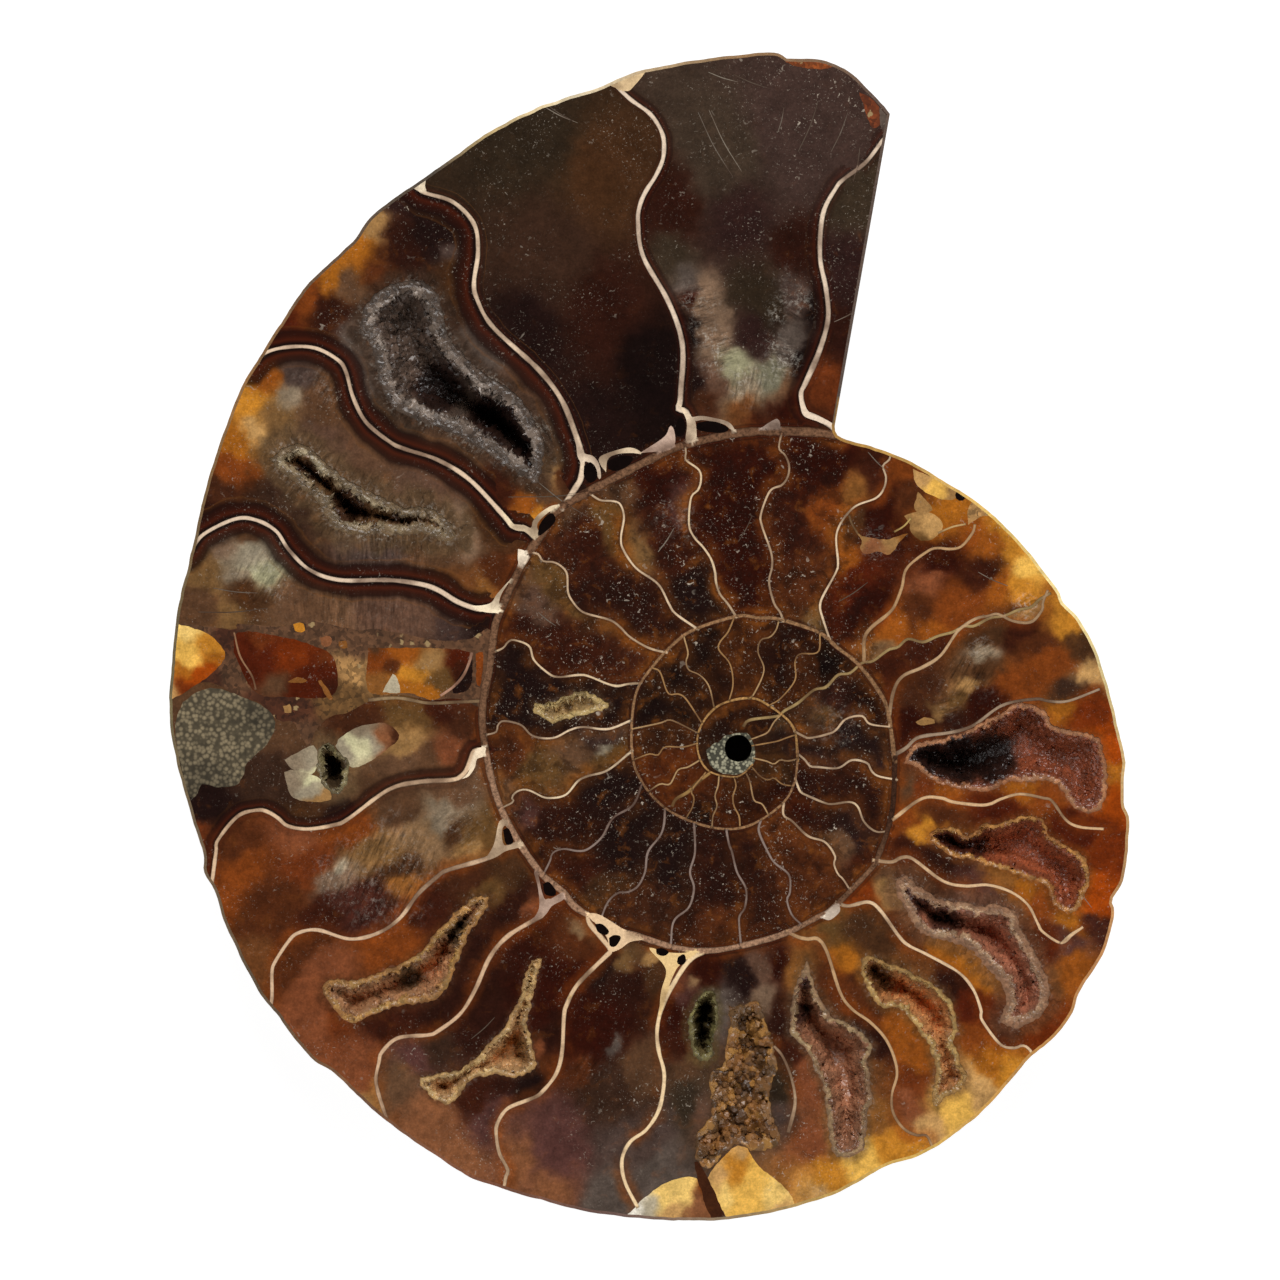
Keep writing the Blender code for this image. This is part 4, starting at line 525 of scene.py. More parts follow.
# Broken fill of the sixth chamber, calcite crystals and other inclusions: plan, colour or patches, finish
inclusions = {
    "brecciaMatrix": (pairs(-57, 13, -50.5, 12.3, -50, 12.8, -46, 12.5, -44, 13, -42, 13, -38, 12.2,
        -36, 12.3, -30, 11.2, -27, 11.3, -26, 11.8, -24.6, 11.8, -25.2, 5, -28, 5.3, -31, 5.2, -34, 5.7,
        -37, 5, -39, 4, -41, 3.4, -42.3, 2, -43, 0.6, -44.5, 3, -46, 3.2, -48, 5, -50, 5.5, -51.5, 6.5,
        -53.5, 7, -55.5, 6, -57.5, 5.6), "-54 12.8 khaki 2, -47 12.3 khaki 2, -39 11.5 khaki 2, "
        "-38.5 8 straw 1.2, -46 4.5 cocoa 2, -40 5 olive 1.5, -33 12 khaki 2, -28 11 khaki 1.5, "
        "-26 6 khaki 1.5, -51.5 12 cocoa 1.5, -50 7 khaki 1.5, -43.5 1.5 khaki 1, -52.5 6.9 cocoa 1",
        "cement"),
    "pyriteGrains": (pairs(-55.5, 5, -53.5, 6.3, -51.5, 6.2, -47.5, 4.6, -46.3, 3, -46.8, 1.2, -49, -1,
        -49.4, -2.2, -50.2, -3.3, -52, -3.5, -53.6, -3.2, -54.4, -4.6, -55.2, -3.5, -56.3, 2),
        "-54 3 pyriteLight 3, -50 1 pyriteLight 3, -53 -2 pyrite 2, -51 5 pyriteLight 2, -48 3 pyrite 2",
        "grains"),
    "pocketFacetLeft": (pairs(-45.3, -0.8, -43.6, 0.2, -42.3, 0.5, -42.1, -1.4, -42.8, -2.2, -44.4, -1.8),
        "-44.5 -.8 oat .6, -43 -.6 haze .6, -42.6 -1.6 pale .5", "chamber"),
    "pocketFacetLow": (pairs(-45.4, -2, -44.4, -1.8, -42.8, -2.2, -41.7, -2.8, -40.6, -4.6, -42.6, -5,
        -44.6, -4.4), "-44.6 -3 oat .6, -43 -3.4 haze .6, -42.5 -2.4 pale .4, -42 -4.4 straw .6",
        "chamber"),
    "pocketFacetRight": (pairs(-40.3, 0.6, -38.3, -1.6, -34.2, 1, -34.4, 2.4, -36, 2.9, -38.3, 2.4,
        -39.8, 1.4), "-39.4 .4 haze .6, -38.2 1 pale .8, -36.8 1.2 haze .7, -35.4 1.7 clay .7, "
        "-37.5 2.4 oat .6, -34.4 1.6 cocoa .8, -35.8 .4 clay .5", "chamber"),
    "yellowBlock": (pairs(-57, 13, -54, 12.2, -52.3, 11.3, -51.4, 9.2, -55, 6.2, -57.4, 5.8),
        "-55.5 12 butter 1.2, -53 11 gold 1.2, -52.5 9 honey 1, -55 9.5 buff 1.3, -54.5 7.6 fire 1, "
        "-55.4 6.5 brickred .8, -56.9 6.2 sand .8, -52.8 8.2 fire .7, -56.5 10 buff 1, -55.8 8.3 honey .8",
        "chamber"),
    "darkRedBlock": (pairs(-50.5, 10, -49.8, 12, -45, 11.4, -42, 10.4, -40.5, 9.5, -40, 7, -41, 5.5,
        -45, 5.5, -48.3, 6), "-49 10 brick 2, -45 9.5 brickred 1.5, -42 8 brick 1.5, -46 6.4 khaki 1.1, "
        "-41 9 russet 1, -44 6 brick 1.2, -48 11.3 russet 1, -41 6.5 chestnut 1", "chamber"),
    "orangeBlock": (pairs(-37, 10.4, -31, 10.4, -26.7, 9.9, -27.5, 8, -29, 6, -30.5, 5.2, -33, 5.9,
        -36.9, 6), "-36 9 copper 1.2, -35.8 6.8 ochre 1, -34.4 8.2 bark .8, -33.5 9.8 amber 1, "
        "-32.5 7.5 gold 1.2, -31 6 honey 1, -30.5 9 straw .9, -29.5 7 olive 1, -28 9 brick 1, "
        "-27.6 8 chestnut .8, -33 6.2 honey .8, -36.5 10 khaki .6", "chamber"),
    "paleTriangle": (pairs(-35.5, 6, -34.5, 7.8, -33.8, 6), "bone", "chamber"),
    "darkTriangle": (pairs(-26.6, 9.5, -28.6, 6.1, -26.8, 6.5), "soot", "chamber"),
    "orangeStrip": (pairs(-26.2, 9.8, -25.5, 9.8, -25.7, 7, -26.1, 6.8), "copper", "chamber"),
    "yellowChip": (pairs(-44.5, 12.8, -43.6, 12.9, -43.3, 12.2, -44.2, 12), "gold", "chamber"),
    "tanChip": (pairs(-41.8, 11.4, -40.8, 11.6, -40.7, 10.7, -41.5, 10.6), "clay", "chamber"),
    "smallChip": (pairs(-39.9, 11, -39.2, 11.1, -39.1, 10.4, -39.8, 10.4), "ochre", "chamber"),
    "crescentChip": (pairs(-45, 7, -44, 7.5, -43, 7.1, -44, 6.9), "ochre", "chamber"),
    "sliverChip": (pairs(-42, 7.1, -41.6, 7.1, -40.5, 5.4, -41, 5.3), "ochre", "chamber"),
    "lowChip": (pairs(-45.5, 4.6, -44.8, 4.8, -44.6, 4, -45.3, 3.9), "straw", "chamber"),
    "creamWedge": (pairs(-11.8, -47, -9, -44.3, -6.5, -42.8, -3.8, -42.9, -2.2, -47.4),
        "-10.7 -46.1 ivory 1.1, -9 -45.6 bone .8, -7.5 -44.5 butter 1, -5.5 -44 butter 1, -4 -45.8 clay 1, "
        "-3.4 -44.3 copper .8, -6.5 -46.3 sand 1", "chamber"),
    "calciteTriangle": (pairs(0, -39.4, -1.2, -40.2, -3.1, -43, -1.5, -46, 0, -47, 5, -46, 5.2, -44.2,
        2, -41.3, 0.9, -39.6), "0 -41.5 gold 1, 1.5 -43 buff 1.2, -1 -44 butter .8, 3.5 -44.5 butter 1, "
        "1 -45.5 buff 1, 0 -40.2 sand .6, -1.8 -42.5 sand .7, 4 -45.6 sand .8", "chamber"),
    "brownBand": (pairs(-4.4, -41, -3.7, -41.3, -1.9, -45, -1.2, -47.2, -2.4, -47.2, -4, -43), "cocoa",
        "chamber"),
    "yellowShard": (pairs(17.5, 28.3, 21.8, 26.6, 22.2, 26, 21.2, 25.2, 19.3, 25.7, 18, 26.6, 17.6, 27.4),
        "18.5 27.5 sand .8, 20 26.5 buff .8, 21.5 25.8 straw .7", "chamber"),
    "tanShard": (pairs(18, 26, 19.5, 24.2, 17.7, 24.2), "straw", "chamber"),
    "yellowCrystal": (pairs(16.6, 23.6, 17.6, 24, 19, 24, 20.2, 23.2, 20.4, 22.3, 19.4, 21.3, 18.2, 21.2,
        17.3, 21.9, 17.2, 22.8), "17.5 23 straw .7, 19 22.5 sand .7, 18.5 21.6 olive .6", "chamber"),
    "beigeStreak": (pairs(11.8, 22, 12.4, 21.2, 12.2, 20.4, 12.8, 19.8, 14.1, 20, 15.2, 19.7, 16.3, 21.2,
        17.1, 21.9, 15, 21.3, 12.8, 21.5), "12.3 21.5 straw .6, 13.5 20.4 clay .7, 14.8 20.8 straw .6, "
        "16 21.3 ochre .6", "chamber"),
    "blackBead": (pairs(21.7, 25.7, 22, 26.2, 22.6, 26.2, 22.9, 25.7, 22.6, 25.2, 22, 25.2), "night",
        "chamber"),
    "beigeGrains": (pairs(23, 22.7, 24, 23.4, 25.2, 23.6, 26.4, 22.8, 26.2, 24, 25, 25.4, 23.6, 25.2,
        23, 24), "straw", "cement"),
    "rustPatch": (pairs(12.1, 66, 13.5, 65.2, 14.4, 63.9, 14.2, 62.8, 13.3, 62.6), "russet", "cement"),
    "rustEdge": (pairs(3.8, 69.9, 8.9, 69.3, 9.6, 68.6, 8, 68.3, 5.4, 68.7), "copper", "cement"),
    "greySliver": (pairs(14.2, 64.4, 15.2, 63, 15.6, 61.4, 14.8, 61.6, 14.2, 62.8), "granite", "chamber"),
    "ochreLens": (pairs(17.7, 3, 18.4, 3.4, 19.2, 3.4, 19.7, 3, 19, 2.7, 18.2, 2.7), "straw", "chamber"),
    "centreCrescent": (pairs(-3.1, 0.2, -2.8, -1.2, -2, -2, -0.6, -2.3, 0.6, -2, 1.5, -1.2, 1.7, -0.1,
        1.4, 1.1, 0.8, 1.9, -1.2, 1.7, -1.9, 1, -2.4, 0.9), "crescent", "fineGrains"),
}
# Fans of crystal fibres and shards: middle, radius, direction in degrees, strength of streaks and frosting
fans = (
    (-4, 45, 3.4, 12, 1.0, 0.6), (-2, 40, 3.2, 15, 1.0, 0.9), (1, 36.8, 3, 80, 0.9, 1.0),
    (4, 39.5, 2.8, 165, 0.9, 0.9), (5, 44.5, 2.8, 150, 0.8, 0.7), (4.5, 48, 2, 140, 0.6, 0.4),
    (-36, -12, 7.5, 65, 1.0, 0.45), (-28, -8, 3.5, 40, 0.7, 0.3), (-38, 15.6, 8.5, 90, 0.8, 0.12),
    (-47.5, 17.5, 4, 60, 0.8, 0.5), (-34.5, 20.6, 6, 90, 1.0, 0.15), (-40, 36.5, 4.5, 60, 0.8, 0.35),
    (-20.5, 31, 4, 120, 0.9, 0.3), (29, 14.6, 1.8, 30, 0.8, 0.9), (14.2, 21, 2.6, 20, 0.8, 0.4),
    (23.2, 7.5, 3.6, 60, 1.0, 0.3), (21, 4.4, 1.8, 20, 0.9, 0.2), (24.4, 10, 2.2, 30, 0.9, 0.45),
    (-15, -31.5, 2.5, 60, 0.6, 0.4), (-6, 23, 3, 40, 0.5, 0.35), (10, 3, 4, 40, 0.8, 0.3),
)
# Scratches in the polish: from and to
scratches = (
    (-4, 64, -0.5, 57.5), (-2.9, 64.2, 0.4, 58), (6, 60, 8, 65), (9.3, 60, 11, 64), (-3, 68, 0, 67),
    (-0.5, 67.8, 3, 66.4), (4, 62, 4.6, 64.5), (-19.5, 64.6, -16, 62.9), (-18.8, 64.5, -16.6, 63.2),
    (11.5, 57, 12.2, 60.5), (9.6, 43, 12.5, 44.6), (-23, 25.5, -13, 26.3), (-20, 27, -15, 23.5),
    (33, -12, 35.4, -15.6), (10, 15, 13, 17), (-20, 14, -18.2, 12.6), (-8, 20, -6.4, 22.4),
    (0, 21, 1.4, 23.6), (13, 30, 15, 28), (24, 18, 27, 16.6), (-54, 14, -47, 14.4),
    (-52.5, 16.4, -48, 15.9), (-39, -27, -36.6, -24.2), (-26.7, -28.7, -24.3, -26.5),
)
# Veins: line, width, colour
veins = [
    (pairs(31.3, 15.9, 30.2, 15.3, 29.3, 14.5, 28, 14.2, 26.6, 13.6, 25.2, 13.4, 23.6, 12.6, 22.6, 12.6,
        21.5, 12, 20, 11.6, 18.5, 11, 17, 11.3, 16, 10.5, 15, 10.2, 13.5, 9.1, 12.4, 8.9, 11.2, 7.9,
        10, 7.7, 8.8, 6.5, 7.6, 6.2, 6, 4.9, 4.6, 4.1, 4, 3.6, 1.2, 3.2, 0.5, 2.5), 0.3, "98825a"),
    (pairs(-2.8, -2.1, -4, -3, -5, -4, -6.2, -4.7, -6.6, -5.5), 0.34, "8f7248"),
    (pairs(32.3, -19.1, 33.3, -18.2, 34.5, -17.5), 0.2, "b09a7c"),
    (pairs(20, 21.9, 21.4, 22.5, 22.8, 22.8), 0.2, "b89a6c"),
    (pairs(-26.6, 10, -26.9, 8.9, -27.5, 7.6, -28.5, 6.5, -29.8, 5.6), 0.3, "b08a74"),
    (pairs(11.1, 23.7, 11.4, 22.8, 12, 21.8), 0.2, "8a7250"),
    (pairs(15.6, 22, 16.6, 22.6, 17.3, 23.4), 0.2, "a8905c"),
    (pairs(-37, 5.2, -34, 5.4, -31, 4.9, -28, 5, -25.6, 5.1), 0.35, "8a7458"),
    (pairs(-50.4, 12, -49.8, 9.6, -48.6, 7.6, -48.2, 6.2), 0.2, "8a6a50"),
]


# Lines and outlines
def smoothLine(points, step):
    # A curve through the points, in even steps
    perSpan = 12
    ends = np.vstack([2 * points[0] - points[1], points, 2 * points[-1] - points[-2]])
    fine = []
    for i in range(1, len(ends) - 2):
        p0, p1, p2, p3 = ends[i - 1:i + 3]
        t = np.linspace(0, 1, perSpan, endpoint=False)[:, None]
        fine.append(0.5 * (2 * p1 + (p2 - p0) * t + (2 * p0 - 5 * p1 + 4 * p2 - p3) * t ** 2
                           + (3 * p1 - p0 - 3 * p2 + p3) * t ** 3))
    return evenSteps(np.vstack(fine + [points[-1:]]), step)


def evenSteps(line, step):
    lengths = np.concatenate([[0.0], np.cumsum(np.linalg.norm(np.diff(line, axis=0), axis=1))])
    at = np.linspace(0, lengths[-1], max(2, round(lengths[-1] / step)) + 1)
    return np.column_stack([np.interp(at, lengths, line[:, k]) for k in range(line.shape[1])])


def turning(outline):
    x, y = outline.T
    return np.sign(np.sum(x * np.roll(y, -1) - np.roll(x, -1) * y))


def closedNormals(outline):
    along = np.roll(outline, -1, axis=0) - np.roll(outline, 1, axis=0)
    normals = np.column_stack([along[:, 1], -along[:, 0]])
    normals /= np.linalg.norm(normals, axis=1)[:, None] + 1e-9
    return normals * turning(outline)  # outwards


def jagged(outline, step, teeth, seed):
    fine = smoothLine(np.vstack([outline, outline[:1]]), step)[:-1]
    rng = np.random.default_rng(seed)
    push = 1.6 * teeth * cloud(fine, 1.6, seed) + rng.uniform(-teeth, teeth, len(fine))
    return fine + closedNormals(fine) * push[:, None]


def ribbon(line, widths):
    steps = smoothLine(line, 0.3)
    along = np.gradient(steps, axis=0)
    along /= np.linalg.norm(along, axis=1)[:, None]
    side = np.column_stack([-along[:, 1], along[:, 0]])
    way = np.linspace(0, 1, len(steps))
    half = 0.5 * np.interp(way, np.linspace(0, 1, len(widths)), widths) * (1 + 0.22 * cloud(steps, 1.1, 5))
    left, right = steps + side * half[:, None], steps - side * half[:, None]
    return steps, along, half, np.vstack([left, right[::-1]])


def isInside(points, outline):
    inside = np.zeros(len(points), bool)
    x, y = points.T
    for (ax, ay), (bx, by) in zip(outline, np.roll(outline, -1, axis=0)):
        if ay != by:
            crossing = (ay > y) != (by > y)
            inside ^= crossing & (x < ax + (y - ay) * (bx - ax) / (by - ay))
    return inside


def lattice(low, high, step, jitter, seed):
    rng = np.random.default_rng(seed)
    rows = np.arange(low[1], high[1], step * math.sqrt(0.75))
    columns = np.arange(low[0], high[0], step)
    x, y = np.meshgrid(columns, rows)
    x[1::2] += step / 2
    spots = np.column_stack([x.ravel(), y.ravel()])
    return spots + rng.uniform(-jitter, jitter, spots.shape) * step


# The back of the shell, by the same rule as the CAD: thickness by the angle of the coil, times the flank's
# profile from the umbilicus to the rim
back = {
    "thickness": ((76, 180, 280, 320, 360, 400, 434, 436.5),
                  (15.15, 15.15, 15.1, 14.4, 13.4, 12.3, 11.4, 15.1)),
    "flank": ((0, 0.05, 0.12, 0.22, 0.335, 0.41, 0.53, 0.65, 0.76, 0.85, 0.92, 0.965, 0.99, 1),
              (0.70, 0.80, 0.92, 0.98, 1, 1, 0.975, 0.925, 0.84, 0.72, 0.575, 0.41, 0.22, 0)),
    "umbilicus": 5.5, "umbilicusDepth": 10.6, "ribs": 30, "ribHeight": 0.45, "ribSweep": 9.0,
    "columnStep": 0.5, "rows": 84, "wall": 0.6,
}


def backDepth(angle, way):
    depth = np.interp(angle, *back["thickness"]) * np.interp(way, *back["flank"])
    phase = np.radians(back["ribs"] * (angle + back["ribSweep"] * np.sin(np.pi * way)))
    fade = smoothStep(0.45, 0.7, way) * (1 - smoothStep(0.93, 1.0, way))
    depth = depth + back["ribHeight"] * fade * np.cos(phase)
    floor = back["umbilicusDepth"] + (depth - back["umbilicusDepth"]) * smoothStep(0, 0.12, way)
    return np.minimum(floor, stone["faceHeight"])


rim = smoothLine(rimPlan, back["columnStep"])
rim += closedNormals(rim) * (0.10 * cloud(rim, 1.4, 61) - 0.05)[:, None]
rimAngles = np.maximum.accumulate(np.unwrap(np.arctan2(rim[:, 1], rim[:, 0])) * 180 / np.pi)
sawnWall = evenSteps(np.vstack([rim[-1], rim[0]]), back["columnStep"])[1:-1]
rimLoop = np.vstack([rim, sawnWall])
lipLoop = rimLoop - closedNormals(rimLoop) * stone["lipWidth"]
loopAngles = np.append(rimAngles, rimAngles[0] + 360)
loopRadii = np.append(np.linalg.norm(rim, axis=1), np.linalg.norm(rim[0]))


def backHeight(points):
    angle = np.degrees(np.arctan2(points[:, 1], points[:, 0]))
    angle = np.where(angle < rimAngles[-1] - 360, angle + 360, angle)
    reach = np.interp(angle, loopAngles, loopRadii) - back["umbilicus"]
    way = np.clip((np.linalg.norm(points, axis=1) - back["umbilicus"]) / reach, 0, 1)
    return stone["faceHeight"] - backDepth(angle, way)


# Meshes: plans in millimetres from the coil's axis become metres in the frame
def newPiece(name, points, faces, material, values):
    mesh = bpy.data.meshes.new(name)
    spots = (points + np.array([*stone["axisAt"], 0.0])) * mm
    mesh.from_pydata(spots.tolist(), [], faces)
    kinds = {1: ("FLOAT", "value"), 3: ("FLOAT_VECTOR", "vector"), 4: ("FLOAT_COLOR", "color")}
    for key, value in values.items():
        kind, field = kinds[value.size // len(points)]
        mesh.attributes.new(key, kind, "POINT").data.foreach_set(field, value.astype(np.float32).ravel())
    mesh.materials.append(material)
    mesh.update()
    piece = bpy.data.objects.new(name, mesh)
    bpy.context.scene.collection.objects.link(piece)
    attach(piece, "root")
    return piece


def flatUv(piece, topFaces):
    # The face fills the texture up to a strip at the right, which the other sides share
    mesh = piece.data
    layer = mesh.uv_layers.new(name="OFBake")
    corners = np.zeros(len(mesh.loops), np.int32)
    mesh.loops.foreach_get("vertex_index", corners)
    spots = np.zeros(len(mesh.vertices) * 3, np.float32)
    mesh.vertices.foreach_get("co", spots)
    spots = spots.reshape(-1, 3)
    low, high = spots.min(0), spots.max(0)
    share = (spots[:, :2] - low[:2]) / max(high[0] - low[0], high[1] - low[1])
    uv = share[corners] * np.array([0.94, 0.94]) + 0.01
    totals = np.zeros(len(mesh.polygons), np.int32)
    mesh.polygons.foreach_get("loop_total", totals)
    onTop = np.repeat(np.arange(len(totals)) < topFaces, totals)
    uv[~onTop] = np.column_stack([0.965 + 0.03 * share[corners][:, 0], share[corners][:, 1]])[~onTop]
    layer.data.foreach_set("uv", uv.astype(np.float32).ravel())


def slabFaces(triangles, count):
    # Top, bottom and sides of a slab, whose lower points follow its upper ones
    edges = triangles[:, [0, 1, 1, 2, 2, 0]].reshape(-1, 2).astype(np.int64)
    border = edges[~np.isin(edges[:, 0] * count + edges[:, 1], edges[:, 1] * count + edges[:, 0])]
    sides = np.column_stack([border[:, 1], border[:, 0], border[:, 0] + count, border[:, 1] + count])
    return triangles.tolist() + (triangles[:, ::-1] + count).tolist() + sides.tolist()


def prism(name, spots, triangles, material, values):
    used, index = np.unique(triangles, return_inverse=True)
    triangles = index.reshape(-1, 3)
    flat = spots[used]
    top = np.full(len(flat), stone["faceHeight"])
    bottom = np.minimum(backHeight(flat) + back["wall"] + stone["clearOfWall"],
                        stone["faceHeight"] - stone["thinnest"])
    points = np.vstack([np.column_stack([flat, top]), np.column_stack([flat, bottom])])
    values = {key: np.vstack([value[used], value[used]]) for key, value in values.items()}
    piece = newPiece(name, points, slabFaces(triangles, len(flat)), material, values)
    flatUv(piece, len(triangles))
    return piece


# Materials. Object coordinates are metres, so a pattern's scale is one over its size in metres.
def addNode(tree, kind, settings=None, links=None):
    node = tree.nodes.new(kind)
    for key, value in (settings or {}).items():
        if key == "stops":
            ramp = node.color_ramp
            for i, (place, tint) in enumerate(value):
                stop = ramp.elements[i] if i < 2 else ramp.elements.new(place)
                stop.position = place
                stop.color = (*linearColour(tint), 1) if isinstance(tint, str) else (tint, tint, tint, 1)
        elif isinstance(key, str) and hasattr(node, key):
            setattr(node, key, value)
        elif isinstance(value, str) and node.inputs[key].type == "RGBA":
            node.inputs[key].default_value = (*linearColour(value), 1)
        else:
            node.inputs[key].default_value = value
    for socket, source in (links or {}).items():
        tree.links.new(source, node.inputs[socket])
    return node


def startMaterial(name, roughness, ior):
    material = bpy.data.materials.new(name)
    material.use_nodes = True
    tree = material.node_tree
    shader = tree.nodes["Principled BSDF"]
    shader.inputs["Roughness"].default_value = roughness
    shader.inputs["IOR"].default_value = ior
    place = addNode(tree, "ShaderNodeTexCoord").outputs["Object"]
    tone = addNode(tree, "ShaderNodeAttribute", {"attribute_name": "tone"}).outputs["Color"]
    return material, tree, shader, place, tone


def noiseAt(tree, place, size, detail, roughness=0.5, distortion=0.0):
    # Noise whose size is in mm
    look = {"Scale": 1 / (size * mm), "Detail": detail, "Roughness": roughness, "Distortion": distortion}
    return addNode(tree, "ShaderNodeTexNoise", look, {"Vector": place}).outputs


def mottled(tree, place, colour, size, amount, detail=4, roughness=0.6):
    # Lighter and darker by up to the amount
    noise = noiseAt(tree, place, size, detail, roughness)[0]
    return scaled(tree, colour, spread(tree, noise, 0.3, 0.7, 1 - amount, 1 + amount))


def tinted(tree, amount, below, above):
    node = addNode(tree, "ShaderNodeMix", {"data_type": "RGBA"}, {0: amount, 6: below})
    if isinstance(above, str):
        node.inputs[7].default_value = (*linearColour(above), 1)
    else:
        tree.links.new(above, node.inputs[7])
    return node.outputs[2]


def product(tree, one, two):
    return addNode(tree, "ShaderNodeMath", {"operation": "MULTIPLY"}, {0: one, 1: two}).outputs[0]


def spread(tree, value, low, high, toLow, toHigh):
    # Takes a value from one range to another and holds it there
    ends = {"From Min": low, "From Max": high, "To Min": toLow, "To Max": toHigh}
    return addNode(tree, "ShaderNodeMapRange", ends, {"Value": value}).outputs[0]


def scaled(tree, colour, strength):
    # The strength is a number or comes from another node
    node = addNode(tree, "ShaderNodeVectorMath", {"operation": "SCALE"}, {"Vector": colour})
    if isinstance(strength, float):
        node.inputs["Scale"].default_value = strength
    else:
        tree.links.new(strength, node.inputs["Scale"])
    return node.outputs[0]


def specks(tree, place, spacing, size, share, soft=1.6):
    # Specks of one size, in only a share of the cells; size and spacing in mm
    cells = addNode(tree, "ShaderNodeTexVoronoi", {"Scale": 1 / (spacing * mm)}, {"Vector": place})
    near = spread(tree, cells.outputs["Distance"], size / spacing, soft * size / spacing, 1.0, 0.0)
    pick = addNode(tree, "ShaderNodeSeparateColor", None, {0: cells.outputs["Color"]})
    chosen = addNode(tree, "ShaderNodeMath", {"operation": "LESS_THAN", 1: share}, {0: pick.outputs[0]})
    return product(tree, near, chosen.outputs[0])


def attribute(tree, name):
    source = addNode(tree, "ShaderNodeAttribute", {"attribute_name": name}).outputs["Vector"]
    return addNode(tree, "ShaderNodeSeparateXYZ", None, {"Vector": source}).outputs, source


# Sizes in mm, colours, the colours and the cover across the dark band, and the flecks of dust: size, where in
# the noise they begin and are full, and strength
chamberLook = {
    "clot": 1.7, "grain": 0.22, "deep": "1c0e0a", "bright": "95551f", "frost": "cfc6b8", "dust": "c2b4a2",
    "thread": "7a4c22",
    "band": ((0.0, "170c09"), (1.0, "1a0c08"), (0.1, "1c0d0a"), (0.26, "42190c"), (0.45, "2c110a"),
             (0.72, "1e0e0a"), (0.88, "38200f")),
    "cover": ((0.0, 1.0), (1.0, 0.0), (0.66, 0.9)), "threadAt": 0.95,
    "flecks": ((0.2, 0.64, 0.76, 0.9), (0.4, 0.665, 0.74, 0.85), (0.9, 0.71, 0.76, 0.6)),
}


def chamberCalcite():
    # Calcite and agate that filled the chambers, ground and polished: clear depth under a hard gloss
    material, tree, shader, place, tone = startMaterial("polishedChamberCalcite", 0.12, 1.6)
    grit = attribute(tree, "grit")[0]
    colour = mottled(tree, place, tone, 2.6, 0.22, 6, 0.6)
    # Clots: dark hollows and bright wisps of amber with sharp edges
    clots = noiseAt(tree, place, chamberLook["clot"], 8, 0.62, 0.35)[0]
    darkness = product(tree, spread(tree, clots, 0.4, 0.52, 0.7, 0.0), grit["X"])
    colour = tinted(tree, darkness, colour, chamberLook["deep"])
    wisps = product(tree, spread(tree, clots, 0.57, 0.72, 0.0, 0.42), grit["X"])
    colour = tinted(tree, wisps, colour, chamberLook["bright"])
    colour = mottled(tree, place, colour, 0.75, 0.22, 5, 0.7)
    colour = mottled(tree, place, colour, chamberLook["grain"], 0.16, 2)
    # Fibrous crystals that grew towards each hollow: streaks along the way to its rim
    fibre, source = attribute(tree, "fibre")
    lengthened = {"operation": "MULTIPLY", 1: (2.4, 0.4, 0)}
    streakPlace = addNode(tree, "ShaderNodeVectorMath", lengthened, {0: source}).outputs[0]
    # The painted way is in mm and not in metres
    streak = noiseAt(tree, streakPlace, 1 / mm, 5, 0.7, 0.4)[0]
    streaked = scaled(tree, colour, spread(tree, streak, 0.32, 0.68, 0.4, 1.75))
    colour = tinted(tree, fibre["Z"], colour, streaked)
    # White frosting in flecks where fibres end or crystals are cut
    flecks = spread(tree, noiseAt(tree, place, 0.45, 4, 0.75, 0.6)[0], 0.5, 0.64, 0.0, 0.95)
    white = product(tree, flecks, spread(tree, streak, 0.42, 0.6, 0.35, 1.0))
    colour = tinted(tree, product(tree, white, grit["Z"]), colour, chamberLook["frost"])
    # Dark band that follows each septum, closed by a thin amber line
    band = attribute(tree, "band")[0]
    tint = addNode(tree, "ShaderNodeValToRGB", {"stops": chamberLook["band"]}, {"Fac": band["X"]})
    cover = addNode(tree, "ShaderNodeValToRGB", {"stops": chamberLook["cover"]}, {"Fac": band["X"]})
    colour = tinted(tree, product(tree, cover.outputs[0], band["Y"]), colour, tint.outputs[0])
    away = {"operation": "SUBTRACT", 1: chamberLook["threadAt"]}
    offset = addNode(tree, "ShaderNodeMath", away, {0: band["X"]}).outputs[0]
    distance = addNode(tree, "ShaderNodeMath", {"operation": "ABSOLUTE"}, {0: offset}).outputs[0]
    threads = product(tree, spread(tree, distance, 0.0, 0.08, 1.0, 0.0), band["Z"])
    colour = tinted(tree, threads, colour, chamberLook["thread"])
    # Dust in the pores of the polished face, thick in some places and hardly there in others
    flock = noiseAt(tree, place, 4, 3)[0]
    presence = product(tree, spread(tree, flock, 0.4, 0.62, 0.12, 1.0), grit["Y"])
    for size, low, high, strength in chamberLook["flecks"]:
        noise = noiseAt(tree, place, size, 2, 0.55, 0.8)[0]
        fleck = product(tree, spread(tree, noise, low, high, 0.0, strength), presence)
        colour = tinted(tree, fleck, colour, chamberLook["dust"])
    tree.links.new(colour, shader.inputs["Base Color"])
    return material


